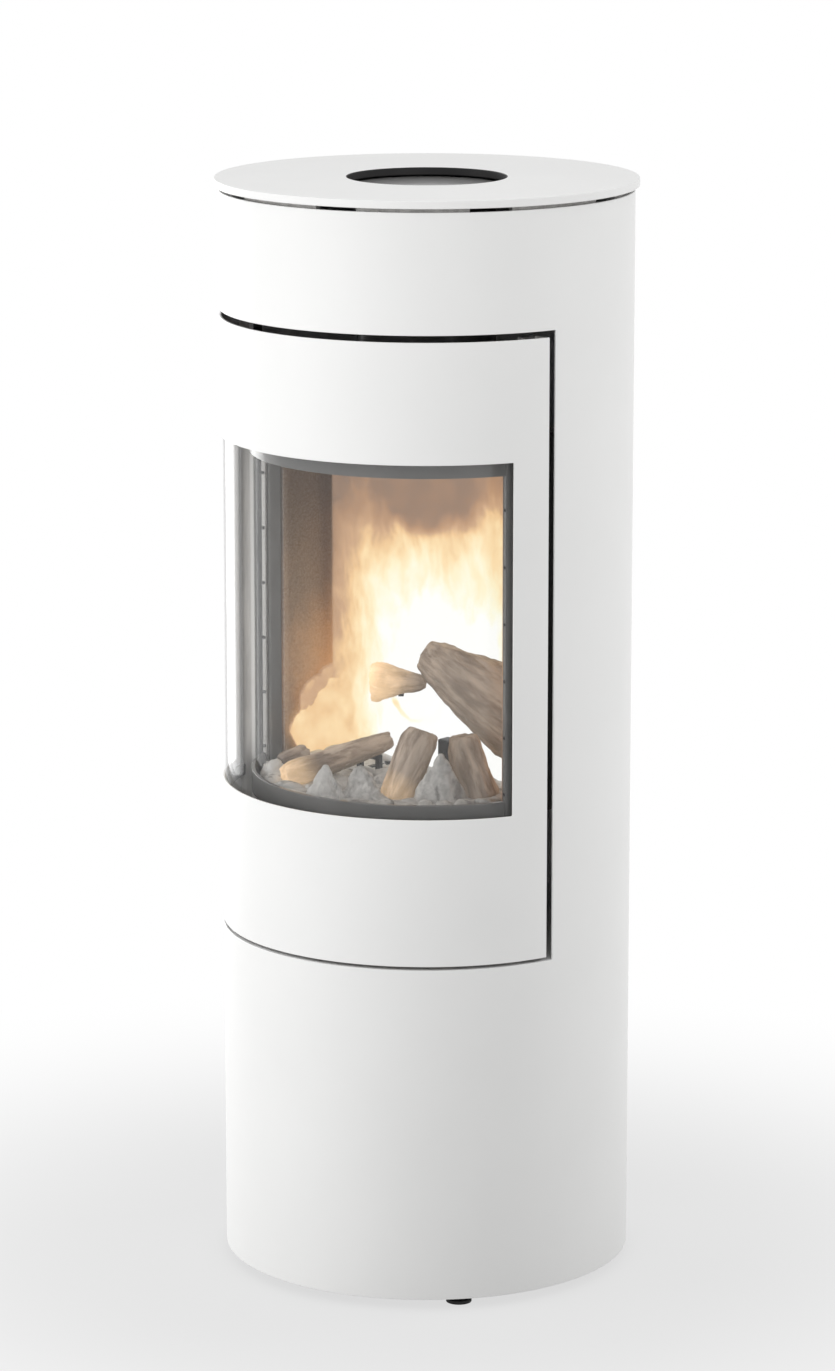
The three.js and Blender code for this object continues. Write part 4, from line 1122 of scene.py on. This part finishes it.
GRIT_STEP = 5.0
GRIT_ACROSS, GRIT_BACK = 38, 6  # cells to each side of the axis, and behind it
GRIT_FOOT, GRIT_LEAST, GRIT_MEAN = 0.35, 1.2, 4.2
GRIT_WAVE, GRIT_CRUMB = 2.6, 1.2
grit_edge = bed_edge(184, 150, -56, 17)
half = GRIT_STEP / 2
cells = dict.fromkeys(
    (i, j) for i in range(-GRIT_ACROSS, GRIT_ACROSS + 1) for j in range(-GRIT_ACROSS, GRIT_BACK)
    if all(inside(grit_edge, i * GRIT_STEP + dx, j * GRIT_STEP + dy)
           for dx in (-half, half) for dy in (-half, half)))
bm = bmesh.new()
corners = {}
for i, j in cells:
    for spot in ((i, j), (i, j + 1), (i + 1, j), (i + 1, j + 1)):
        if spot in corners:
            continue
        x, y = [(number - 0.5) * GRIT_STEP for number in spot]
        wave = GRIT_WAVE * noise.noise(Vector((x * 0.045, y * 0.045, 1.0)))
        crumb = GRIT_CRUMB * noise.noise(Vector((x, y, 9.0)) * 0.16)
        high = max(GRIT_LEAST, GRIT_MEAN + wave + crumb)
        corners[spot] = [bm.verts.new((x * MM, y * MM, (BED + z) * MM)) for z in (high, GRIT_FOOT)]
for i, j in cells:
    quad = [corners[spot] for spot in ((i, j), (i + 1, j), (i + 1, j + 1), (i, j + 1))]
    bm.faces.new([c[0] for c in quad])
    bm.faces.new([c[1] for c in quad][::-1])
    for (di, dj), a, b in (((0, -1), 0, 1), ((1, 0), 1, 2), ((0, 1), 2, 3), ((-1, 0), 3, 0)):
        if (i + di, j + dj) not in cells:
            bm.faces.new((quad[a][0], quad[a][1], quad[b][1], quad[b][0]))
dress(object_from("grit_bed", bm), "casing", "stone_ceramic", finish=stone_ceramic, angle=70)

# %% Pebble bed
scatter, g, given = new_tree("scatter_pebbles", ("Bed", "Geometry"), ("Apart", "Float"),
                             ("Smallest", "Float"), ("Largest", "Float"), ("Seed", "Int"),
                             ("Finish", "Material"))
points = g.node("GeometryNodeDistributePointsOnFaces", {"distribute_method": "POISSON"},
                {"Mesh": given["Bed"], "Distance Min": given["Apart"], "Density Max": 40000.0,
                 "Seed": given["Seed"]})
ball = g.node("GeometryNodeMeshIcoSphere", None, {"Radius": 1.0, "Subdivisions": 3})
size = g.node("FunctionNodeRandomValue", {"data_type": "FLOAT"},
              {2: given["Smallest"], 3: given["Largest"], "Seed": given["Seed"]}, out=1)
flatten = g.node("FunctionNodeRandomValue", {"data_type": "FLOAT_VECTOR"},
                 {0: (0.9, 0.7, 0.42), 1: (1.3, 1.0, 0.62), "Seed": given["Seed"] + 3})
spin = g.node("FunctionNodeRandomValue", {"data_type": "FLOAT_VECTOR"},
              {0: (-0.4, -0.4, 0.0), 1: (0.4, 0.4, 6.28), "Seed": given["Seed"] + 7})
pebbles = g.node("GeometryNodeInstanceOnPoints", None, {
    "Points": points, "Instance": ball, "Rotation": spin,
    "Scale": g.vector("SCALE", flatten, by=size)})
real = g.node("GeometryNodeRealizeInstances", None, {"Geometry": pebbles})
lumps = g.node("ShaderNodeTexNoise", None, {
    "Vector": g.node("GeometryNodeInputPosition"), "Scale": 55.0, "Detail": 2.0})
push = g.vector("SCALE", g.node("GeometryNodeInputNormal"), by=(lumps - 0.5) * 0.006)
lumpy = g.node("GeometryNodeSetPosition", None, {"Geometry": real, "Offset": push})
close_tree(g, lumpy, given["Finish"])

PEBBLES_UP = 2.2
bed = bmesh.new()
bed.faces.new([bed.verts.new((p.x * MM, p.y * MM, (BED + PEBBLES_UP) * MM))
               for p in bed_edge(171, 146, -52, 6)])
bmesh.ops.triangulate(bed, faces=bed.faces)
pebble_bed = object_from("pebble_bed", bed)
for face in pebble_bed.data.polygons:
    if face.normal.z < 0:
        face.flip()
grow(pebble_bed, scatter, Apart=0.021, Smallest=0.009, Largest=0.0165, Seed=11,
     Finish=stone_ceramic)
dress(pebble_bed, "casing", "stone_ceramic", angle=75)

# %% [markdown]
# ## Flames
# A flame has no surface, but it is thin, so it can be drawn on a sheet. One sheet stands just in
# front of the boards, along the left one and the back one. Its own map holds the length along the
# sheet and the height, in metres. From these the finish works out how hot each spot is: white in
# a wide core over the burner, then yellow, orange and a brown haze, torn by noise that is drawn
# out upwards. A few patches and thin curls are placed one by one, to cool the fire or to heat it.
# The cooler it is, the more one sees through.

# %% Fire finish
flame, w, at = new_finish("flame")
sheet_map = w.node("ShaderNodeUVMap", {"uv_map": "sheet"})
curl = w.grain(sheet_map, 16, 3, 0.5, stretch=(1, 0.7, 1)).out("Color")
drift = w.vector("SCALE", w.vector("SUBTRACT", curl, (0.5, 0.5, 0.5)), by=0.055)
blown = w.vector("ADD", sheet_map, drift)
along = w.part(blown)
height = along.out("Y")
tongues = w.grain(blown, 26, 4, 0.55, stretch=(1, 0.38, 1))
wisps = w.grain(blown, 60, 4, 0.6, stretch=(1, 0.45, 1))
across = w.maths("ABSOLUTE", (along - 0.235) / 0.15) ** 3
up = w.maths("ABSOLUTE", (height - 0.6) / 0.215) ** 3
away = (across + up) ** (1 / 3) + 0.5 * (0.5 - tongues) + 0.26 * (0.5 - wisps)
raw = w.part(sheet_map)
level = raw.out("Y")


def patch(s, h, wide, high):
    """1 at a place on the sheet, fading to 0 at its rim."""
    x, y = (along - s) / wide, (height - h) / high
    return 1 - (x * x + y * y).rise(0.0, 1.0)


def lick(s, h, wide, high):
    """A thin curl, the lower half of a ring."""
    x, y = (along - s) / wide, (height - h) / high
    ring = w.maths("ABSOLUTE", (x * x + y * y) - 1)
    return (1 - ring.rise(0.05, 0.55)) * (h - height).rise(-0.2 * high, 0.4 * high)


for kind, cooler, s, h, wide, high in [
        (patch, 0.5, 0.215, 0.86, 0.085, 0.062), (patch, 0.2, 0.05, 0.87, 0.05, 0.05),
        (patch, 0.22, 0.142, 0.84, 0.03, 0.07), (patch, -0.1, 0.288, 0.85, 0.04, 0.08),
        (lick, 0.42, 0.197, 0.627, 0.035, 0.027), (lick, 0.3, 0.27, 0.603, 0.013, 0.014)]:
    away = away + cooler * kind(s, h, wide, high)
puff = w.grain(sheet_map, 34, 3, 0.5)
left_rim = (raw * 1.5 + level).rise(0.575, 0.582)
ragged = 0.03 * (puff - 0.5) - level
inner = (0.587 + 0.68 * raw + ragged).rise(-0.003, 0.004) * left_rim
outer = (0.612 + 0.56 * raw + ragged).rise(-0.004, 0.005) * raw.rise(0.014, 0.02)
away = away.least(1.45 - 0.455 * inner.most(outer * 0.7) + 0.3 * (0.5 - puff))
colour = w.node("ShaderNodeValToRGB", {"stops": [
    (0.0, shade(255, 255, 255)), (0.92, shade(144, 119, 101)), (0.4, shade(255, 255, 252)),
    (0.46, shade(255, 252, 228)), (0.52, shade(255, 242, 203)), (0.58, shade(253, 223, 173)),
    (0.64, shade(240, 200, 148)), (0.71, shade(208, 168, 130)),
    (0.8, shade(182, 144, 112))]}, {0: away / 1.6})
back = raw.rise(0.066, 0.07)
hot = 1 - away.rise(1.0, 1.25)
clear = (inner * 0.95).most(outer * 0.7).most(back * (0.62 + 0.36 * hot)).least(1.0)
coat(w, {"Base Color": BLACK, "Roughness": 1.0, "Specular IOR Level": 0.0,
         "Emission Color": colour, "Emission Strength": 1.16, "Alpha": clear})
print("fire finish:", len(flame.node_tree.nodes), "nodes")

# %% Flame sheet
LINE_X, LINE_Y = 154.0, 14.0
CORNER_R = 16.0
FLAME_TOP = 0.928
ACROSS, UPWARDS = 30, 24  # steps along the back and up the sheet
plan = [Vector((-LINE_X, -57.0))]
plan += [Vector((-LINE_X + CORNER_R - CORNER_R * math.cos(t * math.pi / 16),
                 LINE_Y - CORNER_R + CORNER_R * math.sin(t * math.pi / 16))) for t in range(9)]
plan += [Vector((-LINE_X + CORNER_R + (2 * LINE_X - CORNER_R - 4) * t / ACROSS, LINE_Y))
         for t in range(1, ACROSS + 1)]
lengths = [0.0]
for a, b in zip(plan, plan[1:]):
    lengths.append(lengths[-1] + (b - a).length * MM)
flame_foot = (BED + 0.8) * MM
steps = [flame_foot + (FLAME_TOP - flame_foot) * i / UPWARDS for i in range(UPWARDS + 1)]
bm = bmesh.new()
sheet_uv = bm.loops.layers.uv.new("sheet")
grid = []
for k, (p, s) in enumerate(zip(plan, lengths)):
    sway = min(1.0, k / 4) * min(1.0, (len(plan) - 1 - k) / 3)
    column = []
    for z in steps:
        off = sway * 3.0 * noise.noise(Vector((s * 14, z * 9, 2.0)))
        column.append(bm.verts.new(((p.x + (off if k < 6 else 0)) * MM, (p.y - abs(off)) * MM, z)))
    grid.append(column)
for i in range(len(grid) - 1):
    for j in range(len(steps) - 1):
        square = ((i, j), (i + 1, j), (i + 1, j + 1), (i, j + 1))
        face = bm.faces.new([grid[a][b] for a, b in square])
        for loop, (a, b) in zip(face.loops, square):
            loop[sheet_uv].uv = (lengths[a], steps[b])
flames = object_from("flames", bm)
thick = flames.modifiers.new("thick", "SOLIDIFY")
thick.thickness, thick.offset = 0.6 * MM, 0.0
settle(flames)
dress(flames, "casing", "log_ceramic", finish=flame, angle=70)

# %% [markdown]
# ## Light, floor and background
# The stove stands on a pale floor that fades to plain white, in soft light. The key lamp stands
# low in front on the left, the edge lamp behind on the right, where it lights the drum's edge, a
# tall one at the left side, and a small one above on the right of the front. Only the side lamp
# shows in the glass. The world adds an even fill. The lamps light a white coat to just under
# white, and the background is made white by colour alone, for the camera, for mirrors and for
# what is seen through glass.

# %% World and floor
def seen_by_camera(start):
    """1 for what is seen, straight, in a mirror or through glass, and 0 for what only lights."""
    ray = start.node("ShaderNodeLightPath", out="Is Camera Ray")
    return ray.most(ray.out("Is Glossy Ray")).most(ray.out("Is Transmission Ray"))


world = bpy.data.worlds.new("studio")
world.use_nodes = True
world.node_tree.nodes.clear()
bpy.context.scene.world = world
w = Wire(world.node_tree)
fill = w.node("ShaderNodeBackground", None, {"Color": WHITE, "Strength": 0.71})
white = w.node("ShaderNodeBackground", None, {"Color": WHITE, "Strength": 1.0})
sky = w.node("ShaderNodeMixShader", None, {0: seen_by_camera(w), 1: fill, 2: white})
w.node("ShaderNodeOutputWorld", None, {"Surface": sky})

pale_floor, w, at = new_finish("pale_floor")
far = w.vector("LENGTH", at)
# Painted shade: the floor's matt colour is darker near the stove, which dims the light it throws
# back on the drum's lower part and greys the floor around it.
tone = w.blend(far.rise(0.3, 1.3), (0.32, 0.32, 0.32, 1), (0.5, 0.5, 0.5, 1))
matt = w.node("ShaderNodeBsdfDiffuse", None, {"Color": tone})
plain = w.node("ShaderNodeEmission", None, {"Color": WHITE, "Strength": 1.0})
share = (0.68 + 0.32 * far.rise(0.3, 1.1)) * seen_by_camera(w)
show(w, w.node("ShaderNodeMixShader", None, {0: share, 1: matt, 2: plain}))

bm = bmesh.new()
bmesh.ops.create_circle(bm, cap_ends=True, segments=64, radius=40.0)
floor = object_from("floor", bm)
floor.data.materials.append(pale_floor)
floor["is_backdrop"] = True
print("world and floor:", world.name, pale_floor.name)


# %% Lamps
def softbox(name, azimuth, elevation, away, wide, high, watts, mirrored_in_glass=False):
    """A soft lamp at an azimuth from the front and an elevation, in degrees, which looks at the
    middle of the stove."""
    lamp = bpy.data.lights.new(name, "AREA")
    lamp.shape = "RECTANGLE"
    lamp.size, lamp.size_y, lamp.energy = wide, high, watts
    holder = bpy.data.objects.new(name, lamp)
    a, e = math.radians(azimuth), math.radians(elevation)
    target = Vector((0, 0, 0.62))
    holder.location = target + away * Vector(
        (math.sin(a) * math.cos(e), -math.cos(a) * math.cos(e), math.sin(e)))
    holder.rotation_mode = "QUATERNION"
    holder.rotation_quaternion = (target - holder.location).to_track_quat("-Z", "Y")
    holder.visible_glossy = mirrored_in_glass
    bpy.context.scene.collection.objects.link(holder)
    print(name, "lamp:", watts, "W")


softbox("key", -38, 6, away=2.6, wide=1.6, high=2.0, watts=33.5)
softbox("edge", 150, 2, away=2.4, wide=0.7, high=1.8, watts=17.5)
softbox("side", -100, 4, away=2.4, wide=1.1, high=2.2, watts=18, mirrored_in_glass=True)
softbox("front", 44, 34, away=2.2, wide=1.6, high=1.6, watts=11)

# %% [markdown]
# ## The dressed model's box
# The box of the dressed model is printed at the end.

# %% Sizes and the last line
low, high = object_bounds()
print("visual box:", [round(v, 4) for v in (*low, *high)])
